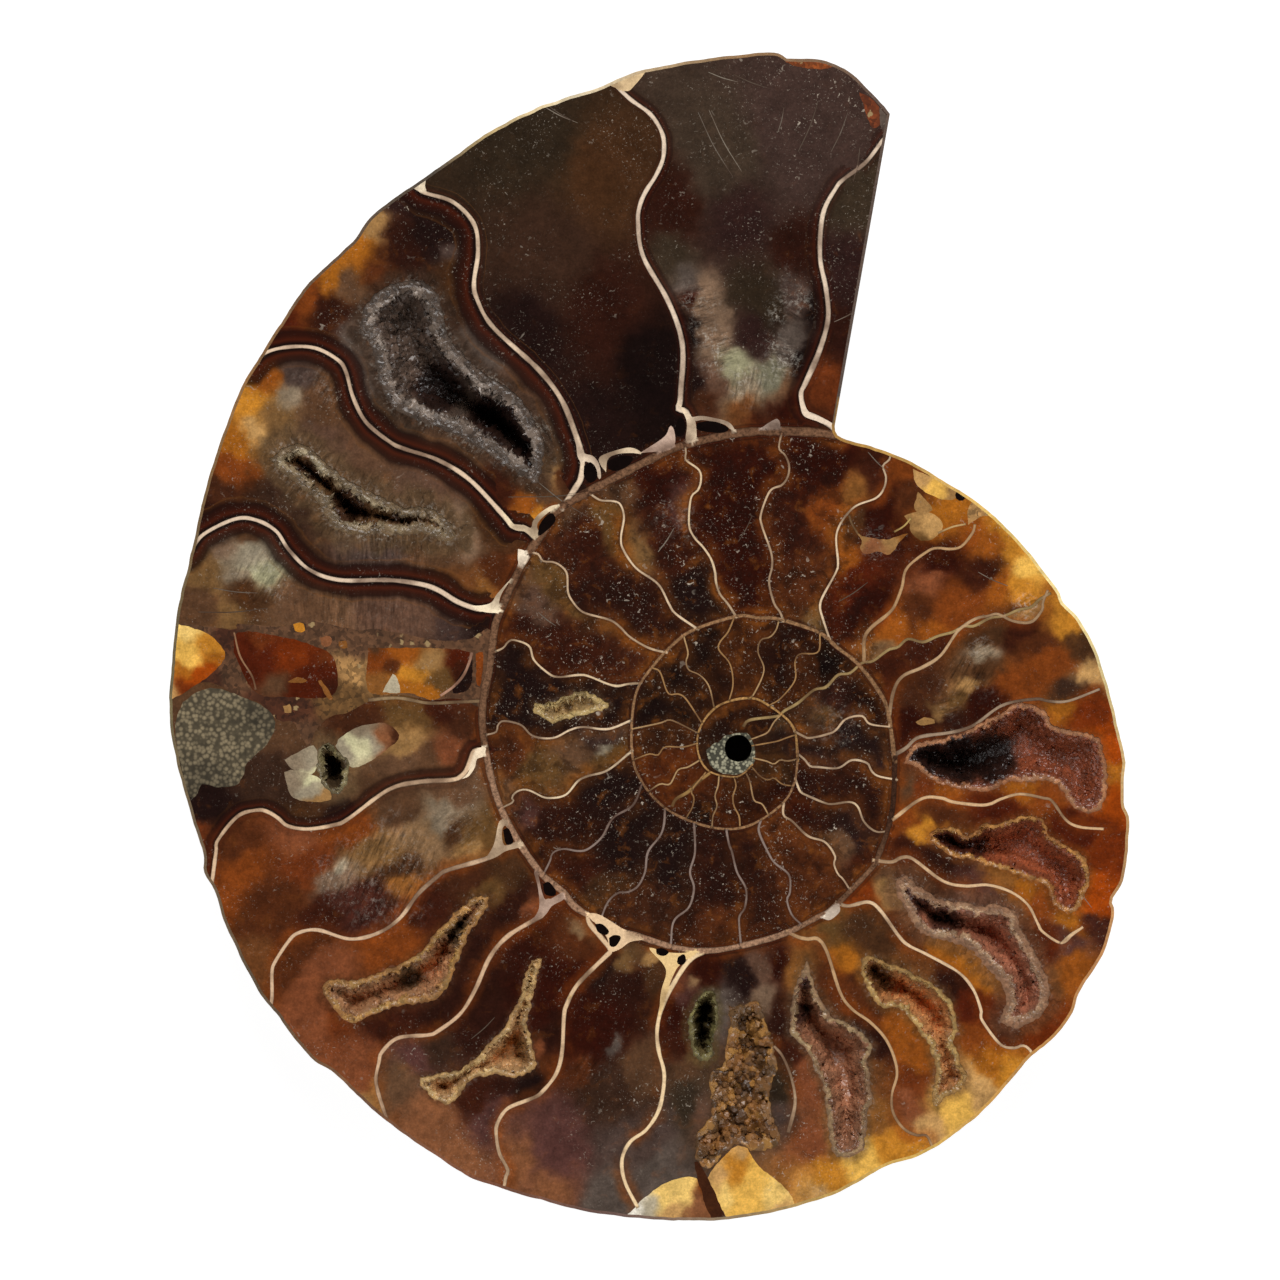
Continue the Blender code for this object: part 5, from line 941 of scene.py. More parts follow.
def shellCalcite():
    # Septa and coil walls, once mother-of-pearl and now cream calcite: bright along the middle and stained at
    # the edges
    material, tree, shader, place, tone = startMaterial("creamShellCalcite", 0.16, 1.6)
    across = attribute(tree, "inlay")[0]
    colour = mottled(tree, place, tone, 0.3, 0.16, 3)
    grains = mottled(tree, place, tone, 0.35, 0.75, 4, 0.8)
    colour = tinted(tree, across["Y"], colour, grains)
    edge = spread(tree, across["X"], 0.6, 1.05, 0.0, 0.8)
    colour = tinted(tree, edge, scaled(tree, colour, 1.15), "2a160e")
    tree.links.new(colour, shader.inputs["Base Color"])
    return material


def grainyMineral(name, size, gap, dark):
    # Grains packed side by side, each with a painted highlight in its middle, and dark gaps between them that
    # are partly the dark ground and partly painted shade
    material, tree, shader, place, tone = startMaterial(name, 0.3, 1.6)
    packing = {"Scale": 1 / (size * mm), "Randomness": 0.8}
    away = addNode(tree, "ShaderNodeTexVoronoi", packing, {"Vector": place}).outputs["Distance"]
    # Painted highlight towards each grain's middle and painted shade in the gaps
    stops = ((0.0, 1.55), (1.0, 0.3), (0.2, 1.35), (0.42, 1.0), (gap, dark))
    paintedHighlightAndShade = addNode(tree, "ShaderNodeValToRGB", {"stops": stops}, {"Fac": away}).outputs[0]
    colour = mottled(tree, place, tone, 0.9, 0.25)
    shaded = addNode(tree, "ShaderNodeVectorMath", {"operation": "MULTIPLY"}, {0: colour, 1: paintedHighlightAndShade})
    tree.links.new(shaded.outputs[0], shader.inputs["Base Color"])
    return material


def cementedRubble():
    # Fine rubble cemented between the broken blocks: sandy, with pale and dark chips
    material, tree, shader, place, tone = startMaterial("cementedRubble", 0.3, 1.58)
    colour = mottled(tree, place, tone, 1.4, 0.3, 6)
    rough = noiseAt(tree, place, 0.4, 4)["Color"]
    bent = addNode(tree, "ShaderNodeVectorMath", {"operation": "MULTIPLY_ADD", 1: (0.8 * mm, 0.8 * mm, 0)},
                   {0: rough, 2: place}).outputs[0]
    chips = addNode(tree, "ShaderNodeTexVoronoi", {"Scale": 1 / (0.36 * mm)}, {"Vector": bent})
    chance = addNode(tree, "ShaderNodeSeparateColor", None, {0: chips.outputs["Color"]}).outputs[0]
    colour = scaled(tree, colour, spread(tree, chance, 0.0, 1.0, 0.55, 1.45))
    colour = tinted(tree, specks(tree, bent, 1.3, 0.22, 0.4, 1.4), colour, "9a8058")
    tree.links.new(colour, shader.inputs["Base Color"])
    return material


def druseCrystals():
    # Small clear crystals on the chamber's lining: every facet catches the light on its own
    material, tree, shader, place, tone = startMaterial("druseCrystals", 0.35, 1.5)
    colour = mottled(tree, place, tone, 0.3, 0.2, 3, 0.7)
    tree.links.new(colour, shader.inputs["Base Color"])
    return material


def weatheredShell():
    # Natural outside of the shell: iron-stained, dull, with growth lines and mineral crust
    material, tree, shader, place, tone = startMaterial("weatheredShell", 0.5, 1.55)
    colour = mottled(tree, place, tone, 6.0, 0.35, 8, 0.65)
    colour = mottled(tree, place, colour, 0.6, 0.25, 4, 0.7)
    tree.links.new(colour, shader.inputs["Base Color"])
    height = {"Height": noiseAt(tree, place, 0.5, 6, 0.65)[0]}
    relief = addNode(tree, "ShaderNodeBump", {"Strength": 0.5, "Distance": 0.15 * mm}, height)
    tree.links.new(relief.outputs[0], shader.inputs["Normal"])
    return material


finishes = {
    "chamber": chamberCalcite(), "shell": shellCalcite(),
    "grains": grainyMineral("packedGrains", 0.43, 0.62, 0.42),
    "fineGrains": grainyMineral("finePackedGrains", 0.34, 0.55, 0.2),
    "cement": cementedRubble(), "druse": druseCrystals(), "back": weatheredShell(),
}


# Every line and patch of the polished face in one triangulation, so that neighbours share their edges
def makeTree(points):
    tree = KDTree(len(points))
    for i, (x, y) in enumerate(points):
        tree.insert((x, y, 0), i)
    tree.balance()
    return tree


def nearest(tree, points):
    found = [tree.find((x, y, 0)) for x, y in points]
    return np.array([f[1] for f in found]), np.array([f[2] for f in found])


firstSeed = {"rim": 40, "inclusion": 300, "crust": 500}
# Where outlines overlap, the one with the highest rank is seen
rankOf = {"stone": 0, "inclusion": 10, "vein": 60, "scratch": 61, "innerSeptum": 63, "secondSeptum": 64,
          "outerSeptum": 65, "coilWall": 72, "fillet": 75, "pocket": 76, "hollow": 90, "hole": 95}
# Dark band of a line: width and strength on its left and on its right, thin amber line, amber light beside it
noBand = (0.01, 0, 0.01, 0, 0, 0)
veinBand = (0.01, 0, 0.01, 0, 0, 0.3)
thinTints = {"scratch": ("6b6258", "7d7468", "574c42"), "secondSeptum": ("c8b296", "b8a084", "c4ae90"),
             "innerSeptum": ("94744e", "a08460")}
outlines = [("stone", rankOf["stone"], lipLoop)]
centres, lineSpots, lineAlong, lineHalf, lineKey, lineBand = [], [], [], [], [], []
lineTints = {}


def addLine(key, rank, line, widths, tint, band):
    steps, along, half, outline = ribbon(line, widths)
    outlines.append((key, rank, outline))
    centres.append(steps[1:-1])
    lineSpots.append(steps)
    lineAlong.append(along)
    lineHalf.append(half)
    lineKey.extend([key] * len(steps))
    lineBand.append(np.tile(np.array([*band]), (len(steps), 1)))
    lineTints[key] = tint


for number, (name, inclusion) in enumerate(inclusions.items()):
    outline = jagged(inclusion[0], 0.35, 0.05, firstSeed["inclusion"] + number)
    outlines.append((name, rankOf["inclusion"] + number, outline))
for number, (line, width, tint) in enumerate(veins):
    addLine(f"vein{number}", rankOf["vein"], line, (width, width), tint, veinBand)
for number, (x, y, toX, toY) in enumerate(scratches):
    middle = ((x + toX) / 2 + 0.03 * (toY - y), (y + toY) / 2 - 0.03 * (toX - x))
    line = pairs(x, y, *middle, toX, toY)
    tint = thinTints["scratch"][number % 3]
    addLine(f"scratch{number}", rankOf["scratch"], line, (0.07, 0.11, 0.05), tint, noBand)
for number, (line, widths, tint) in enumerate(coilWalls):
    edge = (0.45, 0.3, 0.18)[number]
    widths = [0.8 * width for width in widths]
    look = (edge, 0.6, edge, 0.6, 0, 0.7)
    addLine(f"coilWall{number}", rankOf["coilWall"] - number, line, widths, tint, look)
for number, (line, tint, front, frontAmount, rear, rearAmount) in enumerate(outerSepta):
    banded = number < 6
    slim = 1 if number < 3 else 0.86 if number < 10 else 0.66
    widths = [slim * width for width in outerSeptumWidths]
    amber = 0.3 if max(frontAmount, rearAmount) > 0.85 else 0
    look = (front, frontAmount * banded, rear, rearAmount * banded, amber, 0.0 if banded else 0.55)
    addLine(f"outerSeptum{number}", rankOf["outerSeptum"], line, widths, tint, look)
for number, line in enumerate(secondSepta):
    tint = "cdb99c" if number == 7 else thinTints["secondSeptum"][number % 3]
    if 7 < number < 13:
        tint = "83736a"
    look = (0.2, 0.3, 0.2, 0.3, 0, 0.8)
    addLine(f"secondSeptum{number}", rankOf["secondSeptum"], line, (0.2, 0.22, 0.24), tint, look)
for number, line in enumerate(innerSepta):
    look = (0.2, 0.3, 0.2, 0.3, 0, 0.35)
    tint = thinTints["innerSeptum"][number % 2]
    addLine(f"innerSeptum{number}", rankOf["innerSeptum"], line, (0.16, 0.16), tint, look)
for number, (plan, tint) in enumerate(fillets):
    outlines.append((f"fillet{number}", rankOf["fillet"], smoothLine(np.vstack([plan, plan[:1]]), 0.25)[:-1]))
    lineTints[f"fillet{number}"] = tint
for number, plan in enumerate(shadedSiphuncleHoles):
    outlines.append((f"pocket{number}", rankOf["pocket"], smoothLine(np.vstack([plan, plan[:1]]), 0.25)[:-1]))
rimStep = 0.3
hollowRims = {}
for number, (name, hollow) in enumerate(hollows.items()):
    hollowRims[name] = jagged(hollow["rim"], rimStep, 0.13, firstSeed["rim"] + number)
    outlines.append((name, rankOf["hollow"], hollowRims[name]))
turns = np.linspace(0, 2 * np.pi, 29)[:-1]
circle = np.column_stack([np.cos(turns), np.sin(turns)])
holeRim = np.array(centreHole["centre"]) + centreHole["radius"] * circle
holeRim += closedNormals(holeRim) * (0.1 * cloud(holeRim, 0.7, 9))[:, None]
outlines.append(("centreHole", rankOf["hole"], holeRim))

outlines = [(key, rank, plan if turning(plan) > 0 else plan[::-1]) for key, rank, plan in outlines]
fixed = np.vstack([plan for key, rank, plan in outlines] + centres)
ranks = np.array([rank for key, rank, plan in outlines])
loose = lattice(lipLoop.min(0), lipLoop.max(0), stone["meshStep"], 0.22, 3)
loose = loose[isInside(loose, lipLoop)]
gap = nearest(makeTree(fixed), loose)[1]
loose = loose[gap > 0.55 * stone["meshStep"]]
polygons, start = [], 0
for key, rank, plan in outlines:
    polygons.append(list(range(start, start + len(plan))))
    start += len(plan)
cdt = delaunay_2d_cdt([Vector(p) for p in np.vstack([fixed, loose])], [], polygons, 1, 1e-5)
spots = np.array([tuple(p) for p in cdt[0]])
triangles = np.array(cdt[2])
corner = spots[triangles]
side1, side2 = corner[:, 1] - corner[:, 0], corner[:, 2] - corner[:, 0]
area = 0.5 * (side1[:, 0] * side2[:, 1] - side1[:, 1] * side2[:, 0])
triangles[area < 0] = triangles[area < 0][:, ::-1]
area = np.abs(area)
label = np.array([max(ids, key=lambda i: ranks[i]) if 0 in ids else -1 for ids in cdt[5]])
keys = [key for key, rank, plan in outlines]
middles = spots[triangles].mean(1)
print("face triangles", len(triangles), "labels", len(set(label)))


def chamberRegions():
    # Triangles of the plain face that share edges form one chamber
    plain = np.flatnonzero(label == 0)
    edges = np.sort(triangles[plain][:, [0, 1, 1, 2, 2, 0]].reshape(-1, 2), axis=1)
    owner = np.repeat(np.arange(len(plain)), 3)
    code = edges[:, 0].astype(np.int64) * len(spots) + edges[:, 1]
    order = np.argsort(code, kind="stable")
    same = np.flatnonzero(code[order][1:] == code[order][:-1])
    first, second = owner[order][same], owner[order][same + 1]
    group = np.arange(len(plain))
    while True:
        low = np.minimum(group[first], group[second])
        before = group.copy()
        np.minimum.at(group, first, low)
        np.minimum.at(group, second, low)
        group = group[group]
        if (group == before).all():
            break
    region = np.full(len(triangles), -1)
    region[plain] = np.unique(group, return_inverse=True)[1]
    return region


region = chamberRegions()
sizes = np.bincount(region[region >= 0], weights=area[region >= 0])
largeChamber = 60  # square mm
print("chamber regions", len(sizes), "large", int((sizes > largeChamber).sum()))


# Values for painting, one per spot of the face
polish = {"gain": 1.2, "depth": 1.13}
faceTints = {"innerGlow": "8a521f", "outerGlow": "844418", "stain": "38241a", "paleWall": "9c7d66",
             "siphuncleHoleShade": "150c0a", "shellBack": "5f4128"}


def toLinear(tones):
    # A polished stone shows its colours deeper than a dull one
    linear = np.where(tones <= 0.04045, tones / 12.92, ((np.maximum(tones, 0) + 0.055) / 1.055) ** 2.4)
    return polish["gain"] * linear ** polish["depth"]


def readTones(words):
    rows = []
    for entry in words.split(", "):
        x, y, name, size = entry.split()
        rows.append([float(x), float(y), float(size), *hexTone(stoneColours[name])])
    return np.array(rows)


patchLook = {"wander": 1.2, "wanderSize": 3.4, "ragged": 0.6, "raggedSize": 1.0, "stretch": 0.45,
             "core": 0.15, "falloff": 2.8}


def blendTones(points, patches):
    # Patches are longer along the chambers, which run outwards, and their edges wander
    size, fineSize = patchLook["wanderSize"], patchLook["raggedSize"]
    far = np.column_stack([cloud(points, size, 11, 4), cloud(points, size, 23, 4)])
    fine = np.column_stack([cloud(points, fineSize, 31), cloud(points, fineSize, 47)])
    moved = points + patchLook["wander"] * far
    moved += patchLook["ragged"] * fine
    offset = moved[:, None, :] - patches[None, :, :2]
    outwards = patches[:, :2] / np.linalg.norm(patches[:, :2], axis=1)[:, None]
    along = (offset * outwards).sum(2)
    reach = ((offset ** 2).sum(2) - patchLook["stretch"] * along ** 2) / patches[:, 2] ** 2
    weight = 1 / (patchLook["core"] + reach) ** patchLook["falloff"]
    return (weight @ patches[:, 3:]) / weight.sum(1)[:, None]


patches = readTones(", ".join(chamberTones.values()))
plainMiddles = np.flatnonzero(region >= 0)
patchRegion = region[plainMiddles[nearest(makeTree(middles[plainMiddles]), patches[:, :2])[0]]]

lineAll, alongAll = np.vstack(lineSpots), np.vstack(lineAlong)
halfAll, bandAll = np.concatenate(lineHalf), np.vstack(lineBand)
at, reach = nearest(makeTree(lineAll), spots)
offset = spots - lineAll[at]
cross = alongAll[at][:, 0] * offset[:, 1] - alongAll[at][:, 1] * offset[:, 0]
ahead = np.maximum(np.abs((alongAll[at] * offset).sum(1)) - 0.2, 0)
aside = np.hypot(cross, ahead)
beyond = np.maximum(aside - halfAll[at], 0)
rows = bandAll[at]
# Outer septa run from the rim inwards, so the side towards the mouth is on their left
width = np.where(cross > 0, rows[:, 0], rows[:, 2])
amount = np.where(cross > 0, rows[:, 1], rows[:, 3])
wander = 1 + 0.22 * cloud(spots, 1.6, 77)
thread = rows[:, 4] * np.clip(0.6 + 0.9 * cloud(spots, 5.0, 71), 0, 1)
band = np.column_stack([beyond / np.maximum(width, 0.01) * wander, amount, thread])
inlay = np.column_stack([np.clip(aside / halfAll[at], 0, 1), np.zeros(len(spots)), np.zeros(len(spots))])
# Amber light that gathers along the septa of the younger chambers and of the inner turns
within = isInside(spots, coilWalls[0][0])
glow = rows[:, 5] * (1 - smoothStep(0.1, np.where(within, 1.5, 1.1), beyond + 0.6 * cloud(spots, 1.3, 41)))
glow *= np.clip(0.6 + 1.2 * cloud(spots, 3.2, 43), 0, 1)
innermost = isInside(spots, coilWalls[1][0])
byWall = np.array([key == "coilWall0" for key in lineKey])[at]
glow *= np.where(within & ~byWall, 0.3 + 0.7 * smoothStep(-14, 6, spots[:, 1]), 1.0)
glowTone = np.where(within[:, None], hexTone(faceTints["innerGlow"]), hexTone(faceTints["outerGlow"]))
depthOfTone = np.where(innermost, 0.76, np.where(within, 0.97, 1.0))[:, None]

rimSpots = np.vstack(list(hollowRims.values()))
rimOwner = np.repeat(np.arange(len(hollows)), [len(plan) for plan in hollowRims.values()])
rimWay = np.concatenate([rimStep * np.arange(len(plan)) for plan in hollowRims.values()])
rimAt, rimReach = nearest(makeTree(rimSpots), spots)
nearHollow = rimOwner[rimAt]
lining = np.array([hollow["lining"][:2] for hollow in hollows.values()])[nearHollow]
liningTone = np.array([hexTone(hollow["lining"][2]) for hollow in hollows.values()])[nearHollow]
frosting = np.array([hollow["frost"] for hollow in hollows.values()])[nearHollow]
liningWay = rimReach / lining[:, 0] + 0.45 * cloud(spots, 1.0, 83)
liningAmount = lining[:, 1] * (1 - smoothStep(0.3, 1.0, liningWay))
patchy = np.clip(0.45 + 1.1 * cloud(spots, 2.2, 89), 0, 1)
frostWay = rimReach / np.maximum(1.5 * frosting, 0.1)
frost = np.minimum(frosting, 1) * (1 - smoothStep(0.1, 1.0, frostWay)) * patchy
fibre = np.column_stack([rimWay[rimAt], rimReach, liningAmount])
for x, y, radius, direction, strength, white in fans:
    reach = np.hypot(spots[:, 0] - x, spots[:, 1] - y) / radius
    share = 1 - smoothStep(0.35, 1.0, reach + 0.3 * cloud(spots, 2.0, 57))
    turn = math.radians(direction)
    lengthwise = spots @ (math.cos(turn), math.sin(turn))
    crosswise = spots @ (-math.sin(turn), math.cos(turn))
    taken = share * strength > fibre[:, 2]
    fibre[taken] = np.column_stack([crosswise, lengthwise, share * strength])[taken]
    frost = np.maximum(frost, share * white * np.clip(0.3 + 1.2 * cloud(spots, 1.8, 59), 0, 1))
# How clotted, dusty and frosted the stone is: the inner turns are speckled all over, the mud is plain
isMud = (np.hypot(spots[:, 0] + 12, spots[:, 1] - 50) < 17) | (spots[:, 1] > 52)
clots = np.where(within, 0.8, np.where(isMud, 0.06, 0.32))
dusty = np.where(within, 0.95, np.where(spots[:, 1] > 58, 0.75, 0.36))
dustiness = np.clip(dusty + 0.8 * cloud(spots, 5.0, 61), 0, 1)
grit = np.column_stack([clots, dustiness, frost])


def facePiece(name, groups, finish, extra):
    allSpots, allTriangles, tones, start = [], [], [], 0
    more = {key: [] for key in extra}
    for inside, tone in groups:
        used, index = np.unique(triangles[inside], return_inverse=True)
        allSpots.append(spots[used])
        allTriangles.append(index.reshape(-1, 3) + start)
        tones.append(tone[used])
        for key in more:
            more[key].append(extra[key][used])
        start += len(used)
    tones = toLinear(np.vstack(tones))
    values = {"tone": np.column_stack([tones, np.ones(len(tones))])}
    values.update({key: np.vstack(rows) for key, rows in more.items()})
    return prism(name, np.vstack(allSpots), np.vstack(allTriangles), finishes[finish], values)


# Chamber fills: large chambers are pieces of their own, small ones go by sixths of the turn
standIns = []
flow = {"band": band, "fibre": fibre, "grit": grit}
blank = np.zeros((len(spots), 3))
groups = {}
for number in range(len(sizes)):
    inside = np.flatnonzero(region == number)
    used = np.unique(triangles[inside])
    middle = (middles[inside] * area[inside][:, None]).sum(0) / area[inside].sum()
    own = patches[patchRegion == number]
    if len(own) == 0:
        own = patches[np.argsort(((patches[:, :2] - middle) ** 2).sum(1))[:3]]
    tone = blank.copy()
    tone[used] = blendTones(spots[used], own) * depthOfTone[used]
    tone[used] += (glowTone[used] - tone[used]) * glow[used][:, None]
    tone[used] += (liningTone[used] - tone[used]) * liningAmount[used][:, None]
    sector = int((math.degrees(math.atan2(middle[1], middle[0])) % 360) // 60)
    key = f"chamberFill{number}" if sizes[number] > largeChamber else f"smallChambers{sector}"
    groups.setdefault(key, []).append((inside, tone))
for key, parts in groups.items():
    standIns.append(facePiece(key, parts, "chamber", flow))
print("chamber pieces", len(groups))

for key, (plan, words, finish) in inclusions.items():
    inside = np.flatnonzero(label == keys.index(key))
    own = readTones(words if " " in words else f"{plan[0][0]} {plan[0][1]} {words} 1")
    tone = blank.copy()
    used = np.unique(triangles[inside])
    tone[used] = blendTones(spots[used], own)
    look = {"band": band * (1, 0.5, 0), "fibre": blank, "grit": grit * (0.5, 0.7, 0)}
    standIns.append(facePiece(key, [(inside, tone)], finish, look))

tone = blank.copy()
for key, tint in lineTints.items():
    mine = np.unique(triangles[label == keys.index(key)])
    wear = np.clip(0.1 + 0.8 * cloud(spots[mine], 2.5, 67), 0, 0.5)
    pale = 0
    if key.startswith("coilWall"):
        # The outermost wall is stained nearly black at the right and is pale at the lower left
        turnAt = np.degrees(np.arctan2(spots[mine, 1], spots[mine, 0]))
        outermost = key == "coilWall0"
        wear = np.maximum(0.5 * wear, outermost * 0.9 * (1 - smoothStep(15, 40, np.abs(turnAt + 5))))
        pale = outermost * (1 - smoothStep(40, 75, np.abs(turnAt + 125)))[:, None]
        inlay[mine, 1] = 1.0
    tone[mine] = hexTone(tint) + (hexTone(faceTints["stain"]) - hexTone(tint)) * wear[:, None]
    tone[mine] += (hexTone(faceTints["paleWall"]) - tone[mine]) * 0.75 * pale
    if key.startswith("fillet"):
        inlay[mine, 0] = 0.3 + 0.2 * cloud(spots[mine], 0.7, 19)
walls = [(np.flatnonzero([keys[i] in lineTints for i in label]), tone)]
standIns.append(facePiece("shellWalls", walls, "shell", {"inlay": inlay}))
# Painted shade: the small siphuncle holes between the fillets are flat patches painted near black; a band
# value of 2 lies beyond every band
tone = blank + hexTone(faceTints["siphuncleHoleShade"])
isShadedHole = [keys[i].startswith("pocket") and keys[i][6:].isdigit() for i in label]
look = {"band": blank + (2, 0, 0), "fibre": blank, "grit": blank}
standIns.append(facePiece("siphuncleHoleShade", [(np.flatnonzero(isShadedHole), tone)], "chamber", look))
print("inclusions and walls", len(standIns))


# Back of the shell: a closed thin bowl whose lip is the outer edge of the polished face
lipTints = (
    (74, 78, 90, 104, 112, 118, 130, 145, 160, 175, 190, 205, 220, 240, 255, 268, 280, 295, 310, 330, 350,
    370, 385, 400, 415, 432),
    ("4a3a30", "5c4636", "8a6a44", "d8c8a8", "b8a070", "4a3c2a", "5a4228", "8a6434", "6b5634", "6f6240",
    "6b563c", "5a4830", "6f4c2c", "7c4c30", "6a5048", "8a765c", "b09050", "c8a454", "b88a48", "a87848",
    "b08c5c", "cdb884", "dcc890", "cfae62", "b89450", "9a7430")
)


def shellBowl():
    ways = 1 - (1 - np.linspace(0, 1, back["rows"])) ** 1.35
    columns, face = len(rimLoop), stone["faceHeight"]
    outer = np.zeros((len(ways), columns, 3))
    for row, way in enumerate(ways):
        length = np.linalg.norm(rim, axis=1)
        radius = back["umbilicus"] + (length - back["umbilicus"]) * way
        flat = rim / length[:, None] * radius[:, None]
        depth = backDepth(rimAngles, np.full(len(rim), way)) if way < 1 else np.zeros(len(rim))
        ring = np.column_stack([flat, face - depth])
        share = (np.arange(len(sawnWall)) + 1)[:, None] / (len(sawnWall) + 1)
        outer[row] = np.vstack([ring, ring[-1] + (ring[0] - ring[-1]) * share])
    inner = outer.copy()
    for row, way in enumerate(ways):
        inner[row, :, :2] -= closedNormals(outer[row, :, :2]) * stone["lipWidth"]
        inner[row, :, 2] = np.minimum(face, outer[row, :, 2] + back["wall"] * smoothStep(0, 0.02, 1 - way))
    inner[-1, :, :2] = lipLoop
    return outer, inner


def buildShell():
    outer, inner = shellBowl()
    rows, columns = outer.shape[:2]
    grid = np.arange(rows * columns).reshape(rows, columns)
    turned = np.roll(grid, -1, axis=1)
    outside = np.stack([grid[1:], turned[1:], turned[:-1], grid[:-1]], -1).reshape(-1, 4)
    count = rows * columns
    inside = outside[:, ::-1] + count
    lip = np.stack([grid[-1], grid[-1] + count, turned[-1] + count, turned[-1]], -1)
    points = np.vstack([outer.reshape(-1, 3), inner.reshape(-1, 3)])
    # Rings that close the umbilicus, outside and inside
    faces = [*outside.tolist(), *inside.tolist(), *lip.tolist()]
    for start, flip in ((0, False), (count, True)):
        ring = np.arange(columns) + start
        rings = [ring]
        for share in (0.8, 0.6, 0.4, 0.2):
            fresh = points[ring].copy()
            fresh[:, :2] *= share
            rings.append(np.arange(columns) + len(points))
            points = np.vstack([points, fresh])
        for one, two in zip(rings, rings[1:]):
            quads = np.stack([one, np.roll(one, -1), np.roll(two, -1), two], -1)
            faces += (quads[:, ::-1] if flip else quads).tolist()
        faces.append(rings[-1].tolist() if not flip else rings[-1][::-1].tolist())
    turnAt = np.degrees(np.arctan2(points[:, 1], points[:, 0])) % 360
    turnAt = np.where((turnAt < 74) | (np.hypot(*points[:, :2].T) < 1), turnAt + 360, turnAt)
    tints = np.array([hexTone(text) for text in lipTints[1]])
    lipTone = np.column_stack([np.interp(turnAt, lipTints[0], tints[:, k]) for k in range(3)])
    upper = smoothStep(-2.2, -0.2, points[:, 2] - stone["faceHeight"])[:, None]
    ground = hexTone(faceTints["shellBack"])
    tone = ground + (lipTone - ground) * upper
    tone = np.column_stack([toLinear(tone), np.ones(len(tone))])
    piece = newPiece("shellBack", points, faces, finishes["back"], {"tone": tone})
    tidy = bmesh.new()
    tidy.from_mesh(piece.data)
    bmesh.ops.recalc_face_normals(tidy, faces=tidy.faces)
    tidy.to_mesh(piece.data)
    tidy.free()
    return piece


standIns.append(buildShell())
for piece in standIns:
    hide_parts("ammonite_half")


# Crystals in the open chambers
def floorDepth(hollow, points):
    inward, outward = hollow["depth"]
    middle = hollow["rim"].mean(0)
    direction = middle / np.linalg.norm(middle)
    along = hollow["rim"] @ direction
    share = np.clip((points @ direction - along.min()) / (along.max() - along.min()), 0, 1)
    return inward + (outward - inward) * share


def crystalEnvelope(points, pitch, seed):
    rng = np.random.default_rng(seed)
    tips = lattice(points.min(0) - pitch, points.max(0) + pitch, pitch, 0.35, seed)
    best = np.full(len(points), -1e9)
    owner = np.zeros(len(points), int)
    for number, tip in enumerate(tips):
        near = np.flatnonzero((np.abs(points - tip) < 1.7 * pitch).all(1))
        if len(near) == 0:
            continue
        sides = int(rng.choice([3, 4, 6]))
        ways = rng.uniform(0, 2 * np.pi) + 2 * np.pi * np.arange(sides) / sides
        reach = (points[near] - tip) @ np.array([np.cos(ways), np.sin(ways)])
        lean = (points[near] - tip) @ rng.uniform(-0.3, 0.3, 2)
        level = rng.uniform(0.2, 1.0) * pitch - rng.uniform(0.7, 1.3) * reach.max(1) + lean
        higher = level > best[near]
        best[near[higher]] = level[higher]
        owner[near[higher]] = number
    return best, owner, tips


